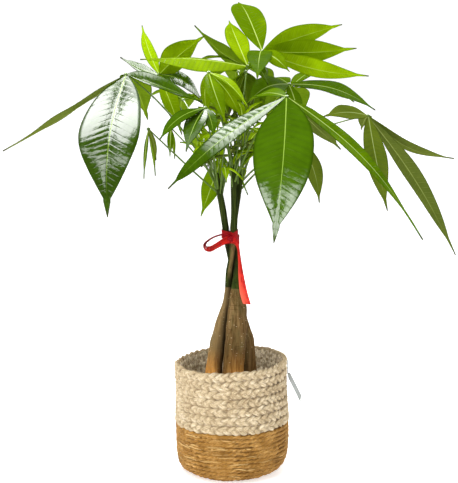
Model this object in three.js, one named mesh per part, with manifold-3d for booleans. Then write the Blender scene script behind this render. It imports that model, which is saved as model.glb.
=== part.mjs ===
// A potted money tree (Pachira): three trunks wound round each other and tied with a red ribbon,
// a crown of palmate leaves on long stalks, in a nursery pot of soil inside a two-tone woven basket.
// Millimetres, +Z up, origin at the centre of the basket's foot. The front of the plant faces -Y.
import * as THREE from "three";
import { mergeVertices } from "three/addons/utils/BufferGeometryUtils.js";
import Module from "manifold-3d";

const wasm = await Module();
wasm.setup();

// ---------------------------------------------------------------- driving dimensions
const GAP = 0.3; // clearance between pieces that touch
const TURN = 2 * Math.PI;

const basket = {
  height: 137,
  split: 62, // height at which the brown base ends and the cream band begins
  wall: 5.5,
  floor: 7,
  footRadius: 44, // the flat ring that the basket stands on
  sides: 34, // facets round the basket, two to each lump of the plait
};
// Radius of the basket's outside at each height, without the swell of the plaits.
const basketProfile = [
  [0, 44], [3, 51.5], [6, 58], [10, 62.5], [16, 65.3], [26, 67], [62, 67.8], [100, 65.8], [137, 66.4],
];
// How far the middle of the woven wall stands to the right of the Z axis, at each height.
const basketLean = [[0, 0.8], [10, 2.6], [25, 4], [62, 4], [100, 3.3], [137, 2.4]];
const rimTilt = { rise: 3.2, towards: 0.35 }; // the rim is higher on its right
const cream = { rows: 7, swell: 1.7, lump: 0.9 };
const brown = { rows: 9, swell: 1, lump: 0.5 };

const pot = { rim: 54, foot: 42, base: 7.3, top: 101, wall: 1.2, lip: 7, lipOut: 2, sides: 30 };
const drain = { count: 4, radius: 4, ring: 26, sides: 8 };
const soil = { level: 95, lump: 1.5, sides: 24, rings: [0.28, 0.5, 0.72, 0.9], holeGap: 0.4 };

// The trunks, listed by where they stand. Each row is a height with the trunk's centre and radius there:
// [z, x, y, radius]. They wind round each other from the soil to the ribbon and part above it.
const trunks = [
  { name: "trunk_left", phase: 0.4, route: [
    [50, -18.4, 0, 10.8], [98, -18.4, 0, 10.8], [123, -18.2, 0, 10.8], [158, -13.4, 1.2, 10.1],
    [173, -10.6, 2.2, 8.8], [187, -7.9, 3.4, 7.6], [207, -2.2, 5.6, 6.1], [221, -0.5, 4.6, 5.4],
    [230, -0.4, 2, 5], [246, 0.2, -2.2, 4.4], [264, 2.8, -4.4, 4], [284, 4.3, -4.8, 4.2],
    [300, 5.8, -4.7, 4.3], [330, 6.3, -5.5, 4.1], [350, 5.8, -6.6, 4], [366, 5.6, -7.6, 3.7],
    [375, 5.4, -8.2, 2.3]] },
  { name: "trunk_middle", phase: 1.9, route: [
    [50, 4.6, -12.8, 13.6], [98, 4.6, -12.8, 13.6], [123, 4.6, -12.6, 13.7], [145, 5.9, -11.8, 13.3],
    [166, 7.6, -10.8, 13.3], [187, 9, -9.2, 12.9], [207, 10, -8.2, 11.2], [221, 8.4, -6.4, 7.8],
    [230, 8.6, -5.6, 5.8], [246, 9.4, -3, 4.6], [264, 9.7, 0.4, 4], [284, 6.8, 3.8, 4.2],
    [300, 5.6, 5, 4.3], [330, 9.6, 4.8, 4.1], [350, 12.4, 5.4, 4], [366, 14.6, 6.6, 3.7],
    [375, 15.6, 7.4, 2.3]] },
  { name: "trunk_right", phase: 3.1, route: [
    [50, 21.4, 11.4, 12.6], [98, 21.4, 11.4, 12.6], [123, 21.4, 11.2, 12.4], [158, 20.4, 10.8, 11],
    [173, 17.4, 12, 9.8], [187, 14, 12.8, 8.5], [207, 13.4, 12.6, 7.6], [228, 10.6, 7.6, 5.4],
    [246, 5.4, 5.4, 4.4], [264, 1.8, 4.2, 4], [284, -2, 1.4, 4.2], [300, -4, -0.6, 4.3],
    [330, -8.8, -1.4, 4.3], [348, -12.8, -1.2, 4], [358, -14.2, -1, 3.6], [366, -14.6, -0.8, 2.2]] },
];
const trunkSides = 10;
const trunkRings = 19;
const trunkFlute = 0.045; // how far the trunk's shallow grooves cut into its radius

// The ribbon: a band wound round the three stems, a knot in front, one loop and one tail. Rows of a route
// are the middle of the ribbon and the way its width runs.
const ribbon = { width: 10, thick: 0.8, low: 282, high: 294.5, clear: 0.45, wound: 1, puff: 0.5, sides: 16 };
const ribbonKnot = { at: [1.5, -11.2, 287], size: [5.4, 1.9, 4.6] };
const ribbonLoop = [
  [[1, -11.5, 289], [0, 0.45, 0.9]], [[-6, -11.6, 293], [0, 0.85, 0.45]],
  [[-17.6, -11.2, 290.4], [0, 0.98, 0.12]], [[-27.2, -11, 283.4], [0, 1, 0.1]],
  [[-30, -11.4, 278.4], [0.15, 1, 0.15]], [[-26.6, -12.4, 272.6], [0, 0.92, 0.4]],
  [[-21.8, -13, 270.8], [0, 0.86, 0.5]], [[-14.2, -13.2, 273.8], [0, 0.8, 0.58]],
  [[-4.8, -12.6, 280.6], [0, 0.6, 0.8]], [[0.6, -12, 286], [0, 0.35, 0.95]],
];
const ribbonTail = [
  [[2, -11.6, 287.5], [0.5, 0, 0.8]], [[7.6, -12.6, 284.4], [0.6, -0.3, 0.7]],
  [[10.8, -13.4, 278.5], [0.5, -0.85, 0.1]], [[12.6, -14, 263], [0.42, -0.9, 0]],
  [[13.6, -14.4, 248], [0.62, -0.78, 0]], [[14.9, -14.9, 234.6], [0.76, -0.62, 0.05]],
  [[17.2, -16.6, 221.6], [0.88, -0.35, 0.1]], [[21.4, -19, 207.4], [0.9, 0.25, 0.2]],
];

// The tag hangs by its narrow neck from the right of the rim, over the topmost row, and stands out from
// the basket. Its face stands along the view, so that it shows nearly edge-on from the front.
const tag = {
  neck: [[70, 3.5, 139.2], [72, 3.6, 132.5], [72.3, 4, 119]], // from the rim to the card
  shoulder: [73.8, 4.2, 114.5],
  foot: [88.2, 5, 85],
  across: [0.1, 1, 0],
  wide: 26,
  neckWide: 2,
  thick: 0.6,
};

// ---------------------------------------------------------------- leaves
const blade = { thick: 0.8, baseThick: 1.2, baseWidth: 1.8, fold: 12, widest: 0.45 };
const dripTip = { from: 0.93, width: 0.8, share: 0.11, length: 0.1 };
const bladeStations = [0, 0.13, 0.27, 0.42, 0.57, 0.71, 0.84, 0.93, 1];
const narrowStations = [0, 0.2, 0.42, 0.7, 0.93, 1]; // for leaflets narrower than the limit
const narrowLimit = 20;
const stalk = { radius: 1.15, rootRadius: 1.9, sides: 5, steps: 6, bendAt: 0.4 };
const knobRadius = 3.2; // the knob that joins a leaf's leaflets to its stalk

// trunk and root: which trunk the leaf grows from, and how high on it. hub: where its leaflets meet.
// lift: how far the stalk bows upwards. A leaflet is [x, y, z of its tip, width, how far its rib bows up,
// degrees that it is turned about its rib, how far its rib bows sideways, degrees that its halves are
// folded up, the place of its widest part along it], where the last four may be left out.
const leaves = [
  { name: "leaf_left_front", trunk: 2, root: 352, hub: [-115, -70, 481], lift: 30, leaflets: [
    [-134, -110, 324, 78, 22, 0, -3], [-262, -40, 394, 40, -3], [-98, 20, 428, 36, 8, 0, 0, 12, 0.4],
    [-32, -6, 450, 31, 1, -42, -4, 26], [-117, 36, 461, 22, 4]] },
  { name: "leaf_left_up", trunk: 2, root: 362, hub: [-85, 30, 483], lift: 10, leaflets: [
    [-107, 60, 543, 19, 0, 0, -3], [-30, 40, 529, 38, 2, 60, -3, 12, 0.42],
    [-127, -10, 502, 24, -4, 42, -2], [-56, 0, 411, 24, 2, 103], [-31, 62, 447, 26, 10, -53, -1]] },
  { name: "leaf_upper_left", trunk: 0, root: 371, hub: [22, 10, 492], lift: 0, leaflets: [
    [-105, 0, 500, 30, 4, 35, -5, -22], [-48, 118, 500, 28, 9, 0, 4],
    [-42, 60, 543, 31, -7, -51, 3, 12, 0.42], [0, 66, 549, 29, 6, 0, -4, 12, 0.5],
    [45, -40, 470, 22, 8]] },
  { name: "leaf_top", trunk: 1, root: 373, hub: [40, 36, 511], lift: 0, leaflets: [
    [139, 60, 544, 32, 2, 60], [154, 30, 514, 35, -3, 55], [163, -20, 480, 30, -6, 48, 1, 12, 0.5],
    [12, 122, 576, 42, 15, 0, -6, 12, 0.5], [31, -90, 475, 30, 10, 0, 0, 12, 0.5],
    [71, -12, 485, 17, 3, -58, 0, 12, 0.5]] },
  { name: "leaf_right_front", trunk: 0, root: 356, hub: [62, -120, 456], lift: 24, leaflets: [
    [47, -170, 303, 67, 22, 0, -8], [-65, -150, 359, 27, 7, 35, -4, 12, 0.58],
    [212, -125, 301, 25, 14, -34, -1, 12, 0.38], [17, -50, 447, 26, 8, 20],
    [127, -64, 397, 36, 1, 7, -3, 12, 0.5]] },
  { name: "leaf_right", trunk: 1, root: 356, hub: [163, -20, 434], lift: 30, leaflets: [
    [182, -60, 326, 30, 8, 0, 7, 12, 0.48], [270, -20, 269, 25, 7, 45, 0, 12, 0.48],
    [273, 20, 382, 22, -12, 20, 0, 12, 0.5], [107, -64, 434, 26, 4, 40], [161, 30, 416, 16, 4]] },
  { name: "leaf_upper_right", trunk: 1, root: 366, hub: [73, 40, 471], lift: 8, leaflets: [
    [177, 20, 440, 34, 10, -25, 0, 12, 0.5], [21, -12, 448, 34, 8, 35], [85, 0, 422, 18, 4],
    [136, 110, 464, 24, 6], [43, 120, 472, 28, 8]] },
  { name: "leaf_young_front", trunk: 0, root: 373, hub: [-23, -60, 483], lift: 8, leaflets: [
    [-3, -90, 426, 26, 5, 6, 5], [22, -78, 443, 15, 6, -17, 2, 34], [-23, -36, 431, 19, 3, -47, -4],
    [14, -44, 433, 34, 7, 29, -6, 12, 0.5]] },
  { name: "leaf_front_left", trunk: 2, root: 347, hub: [-26, -100, 444], lift: 10, leaflets: [
    [-75, -130, 410, 21, 7, 19, 0, 12, 0.5], [-46, -140, 398, 26, 5], [-16, -124, 412, 16, 4]] },
  { name: "leaf_small_left", trunk: 2, root: 343, hub: [-93, -40, 419], lift: -4, leaflets: [
    [-84, -44, 383, 12, 2], [-86, -30, 364, 5, 2], [-98, -52, 362, 5, 2]] },
  { name: "leaf_small_middle", trunk: 2, root: 357, hub: [-69, 0, 419], lift: 4, leaflets: [
    [-65, 6, 382, 6, 1], [-70, -10, 385, 8, 2]] },
  { name: "leaf_low_left", trunk: 1, root: 351, hub: [-9, 30, 382], lift: 2, leaflets: [
    [-35, 34, 309, 30, 0, 60], [-9, 56, 344, 20, 4], [24, 44, 335, 12, 4]] },
  { name: "leaf_low_right", trunk: 1, root: 346, hub: [84, 20, 404], lift: 8, leaflets: [
    [111, 26, 327, 28, 6, -60, 0, 12, 0.5], [79, 60, 352, 24, 8], [59, 66, 362, 24, 8]] },
  { name: "leaf_back_left", trunk: 2, root: 360, hub: [-59, 105, 452], lift: 20, leaflets: [
    [-80, 178, 434, 36, 14], [-68, 226, 417, 42, 20], [-16, 190, 431, 36, 12],
    [-108, 128, 454, 30, 10]] },
  { name: "leaf_back_middle", trunk: 1, root: 371, hub: [12, 125, 488], lift: 14, leaflets: [
    [-31, 196, 470, 36, 14], [8, 244, 462, 44, 22], [66, 212, 468, 36, 14], [-30, 130, 508, 28, 8]] },
  { name: "leaf_back_right", trunk: 1, root: 361, hub: [78, 100, 467], lift: 20, leaflets: [
    [166, 150, 449, 34, 12], [96, 214, 413, 42, 18], [50, 186, 419, 34, 12], [134, 160, 491, 28, 8]] },
  { name: "leaf_back_low", trunk: 1, root: 341, hub: [41, 92, 412], lift: 14, leaflets: [
    [21, 160, 372, 34, 12], [79, 158, 365, 34, 12], [1, 116, 400, 24, 8]] },
  { name: "leaf_back_low_left", trunk: 2, root: 338, hub: [-42, 84, 414], lift: 14, leaflets: [
    [-41, 146, 375, 30, 12], [-9, 150, 359, 38, 12], [-60, 88, 432, 20, 8]] },
];

// ---------------------------------------------------------------- solids
const vec = (x, y, z) => new THREE.Vector3(x, y, z);
const toVec = (point) => vec(point[0], point[1], point[2]);
const UP = vec(0, 0, 1);

// A closed body from a row of rings with the same number of points. Its ends are capped, or the last ring
// joins the first where loop is true. flips says on which sides the quads are split the other way.
function loft(rings, { loop = false, flips = [] } = {}) {
  const n = rings[0].length;
  const count = rings.length;
  const index = [];
  const at = (ring, k) => (ring % count) * n + (k % n);
  for (let i = 0; i < (loop ? count : count - 1); i++)
    for (let k = 0; k < n; k++) {
      const [a, b, c, d] = [at(i, k), at(i, k + 1), at(i + 1, k + 1), at(i + 1, k)];
      if (flips[k]) index.push(a, b, d, b, c, d);
      else index.push(a, b, c, a, c, d);
    }
  if (!loop)
    for (let k = 1; k < n - 1; k++) {
      const fan = n - 2; // the fan starts at the lower middle point, which sees all of a folded section
      index.push(at(0, fan), at(0, fan + k + 1), at(0, fan + k));
      index.push(at(count - 1, fan), at(count - 1, fan + k), at(count - 1, fan + k + 1));
    }
  const g = new THREE.BufferGeometry().setFromPoints(rings.flat());
  g.setIndex(index);
  return facingOut(g);
}

// Six times the volume that a closed geometry encloses, negative where its faces point inwards.
function signedVolume(g) {
  const p = g.attributes.position;
  const corner = (i) => new THREE.Vector3().fromBufferAttribute(p, g.index.getX(i));
  let sum = 0;
  for (let i = 0; i < g.index.count; i += 3) sum += corner(i).dot(corner(i + 1).cross(corner(i + 2)));
  return sum;
}

// The same geometry with every face pointing outwards.
function facingOut(g) {
  if (signedVolume(g) < 0) {
    const order = Array.from(g.index.array);
    for (let i = 0; i < order.length; i += 3) [order[i], order[i + 1]] = [order[i + 1], order[i]];
    g.setIndex(order);
  }
  return g;
}

// A closed geometry as a solid that can be joined and cut.
function solidFrom(geometry) {
  const g = geometry.clone();
  g.deleteAttribute("normal");
  g.deleteAttribute("uv");
  const merged = facingOut(mergeVertices(g, 1e-4));
  return new wasm.Manifold(
    new wasm.Mesh({
      numProp: 3,
      vertProperties: merged.attributes.position.array,
      triVerts: new Uint32Array(merged.index.array),
    }),
  );
}

// Such a solid as a geometry again.
function geometryFrom(solid) {
  const mesh = solid.getMesh();
  const points = [];
  for (let i = 0; i < mesh.vertProperties.length; i += mesh.numProp)
    points.push(vec(...mesh.vertProperties.subarray(i, i + 3)));
  const g = new THREE.BufferGeometry().setFromPoints(points);
  g.setIndex(Array.from(mesh.triVerts));
  return g;
}

// Several bodies as one, with any hollow that they close off between them filled.
function fuse(geometries) {
  const all = wasm.Manifold.union(geometries.map(solidFrom));
  return geometryFrom(wasm.Manifold.union(all.decompose().filter((skin) => skin.volume() > 0)));
}

// The body with the tools taken out of it.
function cut(body, tools) {
  return geometryFrom(tools.map(solidFrom).reduce((left, tool) => left.subtract(tool), solidFrom(body)));
}

// Value of column c of a table [[t, ...values], ...] at t, on a smooth curve through its rows.
function smooth(table, t, c) {
  const last = table.length - 1;
  const i = Math.min(Math.max(table.findIndex((row) => row[0] > t) - 1, 0), last - 1);
  const k = t >= table[last][0] ? last - 1 : i;
  const slope = (j) => {
    const [a, b] = [table[Math.max(j - 1, 0)], table[Math.min(j + 1, last)]];
    return (b[c] - a[c]) / (b[0] - a[0]);
  };
  const [p, q] = [table[k], table[k + 1]];
  const span = q[0] - p[0];
  const s = Math.min(Math.max((t - p[0]) / span, 0), 1);
  const ease = s * s * (3 - 2 * s);
  return p[c] + (q[c] - p[c]) * ease + span * s * (1 - s) * ((1 - s) * slope(k) - s * slope(k + 1));
}

// ---------------------------------------------------------------- basket
// Outer radius of the basket at height z and angle a, with the swell of the plaited rows and their lumps.
function basketRadius(z, row, weave, crest, side) {
  const lump = weave.lump * (side % 2 === row % 2 ? 1 : -1);
  return smooth(basketProfile, z, 1) + (crest ? weave.swell + lump : 0);
}

// Sets the woven wall a little to the right, and lifts the right of its rim.
function settled(geometry) {
  const spots = geometry.getAttribute("position");
  for (let i = 0; i < spots.count; i++) {
    const [x, y, z] = [spots.getX(i), spots.getY(i), spots.getZ(i)];
    const up = Math.min(Math.max(z / basket.height, 0), 1);
    const lean = smooth(basketLean, z, 1);
    const rise = rimTilt.rise * up * up * Math.cos(Math.atan2(y, x) - rimTilt.towards);
    spots.setXYZ(i, x + lean, y, z + rise);
  }
  return geometry;
}

// A closed ring of rows round the Z axis. profile(side) gives [radius, z] points, the same number each side.
function turned(profile, sides) {
  const rings = [];
  for (let side = 0; side < sides; side++) {
    const a = (side / sides) * TURN;
    rings.push(profile(side).map(([r, z]) => vec(r * Math.cos(a), r * Math.sin(a), z)));
  }
  return rings;
}

// Outside of a woven band from z0 to z1: a valley and a crest for each row, then the last valley.
function wovenSide(z0, z1, weave, side) {
  const points = [];
  const step = (z1 - z0) / weave.rows;
  for (let row = 0; row < weave.rows; row++) {
    const low = z0 + row * step;
    points.push([basketRadius(low, row, weave, false, side), low]);
    points.push([basketRadius(low + step / 2, row, weave, true, side), low + step / 2]);
  }
  points.push([basketRadius(z1, 0, weave, false, side), z1]);
  return points;
}

function basketUpper() {
  const low = basket.split + GAP / 2;
  const inner = (z) => smooth(basketProfile, z, 1) - basket.wall;
  const profile = (side) => [
    ...wovenSide(low, basket.height - 2, cream, side),
    [inner(basket.height) + basket.wall / 2, basket.height + (side % 2) * 0.8],
    [inner(basket.height), basket.height - 2],
    [inner(100), 100],
    [inner(low), low],
  ];
  return loft(turned(profile, basket.sides), { loop: true });
}

function basketLower() {
  const high = basket.split - GAP / 2;
  const inner = (z) => smooth(basketProfile, z, 1) - basket.wall;
  const wall = (side) => [
    ...wovenSide(4, high, brown, side),
    [inner(high), high],
    [inner(24), 24],
    [inner(basket.floor + 2), basket.floor + 3],
    [inner(basket.floor) - 4, basket.floor],
  ];
  const rings = turned((side) => [[basket.footRadius, 0], ...wall(side)], basket.sides);
  return capped(rings);
}

// Rings round the Z axis whose profile starts and ends off the axis: the two open ends are closed by discs.
function capped(rings) {
  const n = rings[0].length;
  const count = rings.length;
  const points = rings.flat();
  const lowest = points.length;
  points.push(vec(0, 0, rings[0][0].z), vec(0, 0, rings[0][n - 1].z));
  const index = [];
  for (let i = 0; i < count; i++) {
    const j = (i + 1) % count;
    for (let k = 0; k < n - 1; k++) {
      const [a, b, c, d] = [i * n + k, j * n + k, j * n + k + 1, i * n + k + 1];
      index.push(a, b, c, a, c, d);
    }
    index.push(i * n, lowest, j * n);
    index.push(i * n + n - 1, j * n + n - 1, lowest + 1);
  }
  const g = new THREE.BufferGeometry().setFromPoints(points);
  g.setIndex(index);
  return facingOut(g);
}

// ---------------------------------------------------------------- pot and soil
function nurseryPot() {
  const { rim, foot, base, top, wall, lip, lipOut } = pot;
  const outline = [
    [0, base], [foot, base], [rim, top - lip], [rim + lipOut, top - lip], [rim + lipOut, top],
    [rim - wall, top], [foot - wall, base + wall], [0, base + wall],
  ].map(([r, z]) => new THREE.Vector2(r, z));
  const shell = new THREE.LatheGeometry(outline, pot.sides);
  shell.rotateX(TURN / 4);
  const holes = [];
  for (let i = 0; i < drain.count; i++) {
    const a = (i / drain.count) * TURN;
    const hole = new THREE.CylinderGeometry(drain.radius, drain.radius, 6 * wall, drain.sides);
    hole.rotateX(TURN / 4);
    hole.translate(drain.ring * Math.cos(a), drain.ring * Math.sin(a), base);
    holes.push(hole);
  }
  return cut(shell, holes);
}

// Inner radius of the nursery pot at height z.
function potInner(z) {
  const { rim, foot, base, top, wall } = pot;
  return foot - wall + ((rim - foot) * (z - base - wall)) / (top - base - wall);
}

function soilBody() {
  const low = pot.base + pot.wall + GAP;
  const edge = (z) => potInner(z) * Math.cos(Math.PI / pot.sides) - GAP;
  const profile = (side) => {
    const lumps = soil.rings.map((share, i) => [
      edge(soil.level) * share, soil.level + soil.lump * Math.sin(side * 2.4 + i * 1.9),
    ]);
    return [[edge(low), low], [edge(soil.level), soil.level], ...lumps.reverse()];
  };
  const body = capped(turned(profile, soil.sides));
  const overTop = soil.level + 8 * soil.lump;
  return cut(body, trunks.map((trunk) => trunkBody(trunk, soil.holeGap, overTop)));
}

// ---------------------------------------------------------------- trunks
function trunkCentre(trunk, z) {
  return vec(smooth(trunk.route, z, 1), smooth(trunk.route, z, 2), z);
}

// A trunk, as level rings up its route. grow makes it thicker all round and longer at its foot, and
// upTo ends it in its straight foot.
function trunkBody(trunk, grow = 0, upTo = Infinity) {
  const foot = trunk.route[0][0];
  const straight = trunk.route[1][0];
  const top = trunk.route[trunk.route.length - 1][0];
  const heights = [foot - grow, Math.min(straight, upTo)];
  for (let i = 1; i < trunkRings && upTo > top; i++)
    heights.push(straight + ((top - straight) * i) / (trunkRings - 1));
  const rings = heights.map((z) => {
    const centre = trunkCentre(trunk, Math.max(z, foot));
    const radius = smooth(trunk.route, Math.max(z, foot), 3);
    const ring = [];
    for (let k = 0; k < trunkSides; k++) {
      const a = (k / trunkSides) * TURN;
      const r = radius * (1 - trunkFlute * (1 + Math.sin(3 * a + trunk.phase + z / 60))) + grow;
      ring.push(vec(centre.x + r * Math.cos(a), centre.y + r * Math.sin(a), z));
    }
    return ring;
  });
  return loft(rings);
}

// ---------------------------------------------------------------- ribbon and tag
// The point of the outline round the three stems that lies farthest out at an angle, at height z, with
// room to spare.
function roundStems(z, angle, room) {
  const u = vec(Math.cos(angle), Math.sin(angle), 0);
  const reach = trunks.map((trunk) => {
    const r = smooth(trunk.route, z, 3) + room;
    return trunkCentre(trunk, z).addScaledVector(u, r);
  });
  return reach.reduce((best, p) => (p.dot(u) > best.dot(u) ? p : best));
}

// A strip of ribbon along a route of [middle, way its width runs].
function strip(route) {
  const curve = new THREE.CatmullRomCurve3(route.map(([p]) => toVec(p)), false, "centripetal");
  const steps = 2 * (route.length - 1);
  const rings = [];
  for (let i = 0; i <= steps; i++) {
    const t = i / steps;
    const row = Math.min(Math.floor(t * (route.length - 1)), route.length - 2);
    const mix = t * (route.length - 1) - row;
    const across = toVec(route[row][1]).normalize().lerp(toVec(route[row + 1][1]).normalize(), mix);
    const along = curve.getTangent(t);
    across.addScaledVector(along, -across.dot(along)).setLength(ribbon.width / 2);
    const out = vec(0, 0, 0).crossVectors(along, across).setLength(ribbon.thick / 2);
    const p = curve.getPoint(t);
    rings.push([[1, 1], [-1, 1], [-1, -1], [1, -1]].map(([s, o]) =>
      p.clone().addScaledVector(across, s).addScaledVector(out, o)));
  }
  return loft(rings, { flips: [false, false, true, true] });
}

function ribbonBody() {
  const wound = [];
  const middle = (ribbon.low + ribbon.high) / 2;
  const near = ribbon.clear;
  const far = near + ribbon.wound;
  for (let i = 0; i < ribbon.sides; i++) {
    const a = (i / ribbon.sides) * TURN;
    const section = [
      [ribbon.low, near], [middle, near], [ribbon.high, near],
      [ribbon.high, far], [middle, far + ribbon.puff], [ribbon.low, far],
    ];
    wound.push(section.map(([z, room]) => roundStems(z, a, room)));
  }
  const knot = new THREE.IcosahedronGeometry(1, 1);
  knot.scale(...ribbonKnot.size);
  knot.translate(...ribbonKnot.at);
  return fuse([loft(wound, { loop: true }), knot, strip(ribbonLoop), strip(ribbonTail)]);
}

function tagBody() {
  const across = toVec(tag.across).normalize();
  const points = [...tag.neck, tag.shoulder, tag.foot].map(toVec);
  const rings = points.map((p, i) => {
    const way = points[Math.min(i + 1, points.length - 1)].clone().sub(points[Math.max(i - 1, 0)]);
    const out = vec(0, 0, 0).crossVectors(way, across).setLength(tag.thick / 2);
    const wide = i < tag.neck.length ? tag.neckWide : tag.wide;
    return [[1, 1], [-1, 1], [-1, -1], [1, -1]].map(([s, o]) =>
      p.clone().addScaledVector(across, (s * wide) / 2).addScaledVector(out, o));
  });
  return loft(rings, { flips: [false, false, true, true] });
}

// ---------------------------------------------------------------- leaf blades and stalks
// Width of a leaflet at t from 0 at its base to 1 at its tip: a long oval that ends in a thin drip tip.
function leafletWidth(t, width, widest) {
  const s = Math.min(t / dripTip.from, 1);
  const oval = (s / widest) * Math.pow((1 - s) / (1 - widest), (1 - widest) / widest);
  const drawnOut = dripTip.width + dripTip.share * width * Math.min((1 - t) / dripTip.length, 1);
  return Math.max(width * oval, t < 0.5 ? blade.baseWidth : t > 0.8 ? drawnOut : 0);
}

// One leaflet from hub to tip, bowed and folded a little along its rib.
function leaflet(hub, row) {
  const [x, y, z, width, bow, roll = 0, sweep = 0, foldUp = blade.fold, widest = blade.widest] = row;
  const reach = vec(x, y, z).sub(hub);
  const along = reach.clone().normalize();
  const lift = UP.clone().addScaledVector(along, -UP.dot(along)).normalize();
  const level = vec(0, 0, 0).crossVectors(along, lift);
  const bend = lift.clone().multiplyScalar(bow).addScaledVector(level, sweep);
  const turn = (roll * Math.PI) / 180;
  const across = level.clone().multiplyScalar(Math.cos(turn)).addScaledVector(lift, Math.sin(turn));
  const fold = (foldUp * Math.PI) / 180;
  const start = (0.5 * knobRadius) / reach.length(); // inside the knob that joins the leaflets
  const stations = width < narrowLimit ? narrowStations : bladeStations;
  const rings = stations.map((station) => {
    const t = Math.max(station, start);
    const rib = hub.clone().addScaledVector(reach, t).addScaledVector(bend, Math.sin(Math.PI * t));
    const slope = reach.clone().addScaledVector(bend, Math.PI * Math.cos(Math.PI * t)).normalize();
    const side = across.clone().addScaledVector(slope, -across.dot(slope)).normalize();
    const face = vec(0, 0, 0).crossVectors(side, slope);
    const half = leafletWidth(t, width, widest) / 2;
    const thick = t === start ? blade.baseThick : blade.thick;
    const edge = (hand) => rib.clone().addScaledVector(side, hand * half * Math.cos(fold))
      .addScaledVector(face, half * Math.sin(fold));
    const top = [edge(-1), rib.clone(), edge(1)];
    const under = [...top].reverse().map((p) => p.clone().addScaledVector(face, -thick));
    return [...top, ...under];
  });
  return loft(rings, { flips: [false, false, false, true, true, true] });
}

// A leaf: its stalk from the trunk to the hub, and its leaflets, all in one.
function leafBody(leaf) {
  const hub = toVec(leaf.hub);
  const trunk = trunks[leaf.trunk];
  const axis = trunkCentre(trunk, leaf.root);
  const out = hub.clone().sub(axis).setZ(0).normalize();
  const thick = smooth(trunk.route, leaf.root, 3);
  const bend = axis.clone().lerp(hub, stalk.bendAt).addScaledVector(UP, leaf.lift);
  const rise = Math.abs(bend.clone().sub(axis).normalize().z); // how far the root's end lies level
  const start = axis.clone().addScaledVector(out, thick + GAP + stalk.rootRadius * rise);
  const path = new THREE.QuadraticBezierCurve3(start, bend, hub);
  const rings = [];
  for (let i = 0; i <= stalk.steps; i++) {
    const t = i / stalk.steps;
    const way = path.getTangent(t);
    const side = vec(0, 0, 0).crossVectors(way, UP).normalize();
    const top = vec(0, 0, 0).crossVectors(side, way);
    const r = i === 0 ? stalk.rootRadius : stalk.radius;
    const ring = [];
    for (let k = 0; k < stalk.sides; k++) {
      const a = (k / stalk.sides) * TURN;
      const middle = path.getPoint(t);
      ring.push(middle.addScaledVector(side, r * Math.cos(a)).addScaledVector(top, r * Math.sin(a)));
    }
    rings.push(ring);
  }
  const knob = new THREE.IcosahedronGeometry(knobRadius, 0);
  knob.translate(...leaf.hub);
  return fuse([loft(rings), knob, ...leaf.leaflets.map((row) => leaflet(hub, row))]);
}

// ---------------------------------------------------------------- the plant
const finish = {
  straw: { color: 0xe3d3b0, roughness: 0.85, metalness: 0 },
  seagrass: { color: 0xb98240, roughness: 0.85, metalness: 0 },
  plastic: { color: 0x2b2b2d, roughness: 0.5, metalness: 0 },
  soil: { color: 0x3a2a1e, roughness: 1, metalness: 0 },
  bark: { color: 0x7a5c3c, roughness: 0.8, metalness: 0 },
  leaf: { color: 0x3f8f1c, roughness: 0.3, metalness: 0 },
  satin: { color: 0xd01822, roughness: 0.35, metalness: 0 },
  card: { color: 0xf4f4f0, roughness: 0.6, metalness: 0 },
};

const plant = new THREE.Group();
plant.name = "potted_money_tree";

function add(name, geometry, kind) {
  const flat = geometry.toNonIndexed();
  flat.computeVertexNormals();
  const mesh = new THREE.Mesh(flat, new THREE.MeshStandardMaterial(finish[kind]));
  mesh.name = name;
  plant.add(mesh);
}

add("basket_upper", settled(basketUpper()), "straw");
add("basket_lower", settled(basketLower()), "seagrass");
add("nursery_pot", nurseryPot(), "plastic");
add("soil", soilBody(), "soil");
for (const trunk of trunks) add(trunk.name, trunkBody(trunk), "bark");
add("ribbon", ribbonBody(), "satin");
add("blank_tag", tagBody(), "card");
for (const leaf of leaves) add(leaf.name, leafBody(leaf), "leaf");

export default plant;
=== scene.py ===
"""A potted money tree: wound trunks tied with a red ribbon, palmate leaves, a two-tone woven basket.

Tables are in millimetres, with the front of the plant facing -Y. Meshes are in metres.
"""

import math
import random
from contextlib import contextmanager

import bpy
import numpy as np
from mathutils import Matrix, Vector, noise


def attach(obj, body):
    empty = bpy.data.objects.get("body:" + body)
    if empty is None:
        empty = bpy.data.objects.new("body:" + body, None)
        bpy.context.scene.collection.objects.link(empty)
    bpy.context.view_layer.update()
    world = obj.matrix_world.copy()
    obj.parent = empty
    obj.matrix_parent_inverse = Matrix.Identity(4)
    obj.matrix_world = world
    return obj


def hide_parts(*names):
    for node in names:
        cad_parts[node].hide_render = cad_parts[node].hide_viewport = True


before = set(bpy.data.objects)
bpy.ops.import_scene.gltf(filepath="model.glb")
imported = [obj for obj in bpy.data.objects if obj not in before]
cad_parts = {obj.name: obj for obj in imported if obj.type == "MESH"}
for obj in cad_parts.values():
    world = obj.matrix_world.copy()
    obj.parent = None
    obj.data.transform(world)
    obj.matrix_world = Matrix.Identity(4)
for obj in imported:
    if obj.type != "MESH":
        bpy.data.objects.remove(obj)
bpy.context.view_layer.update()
MM = 0.001
TAU = 2 * math.pi
WHITE = (1, 1, 1)


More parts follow.
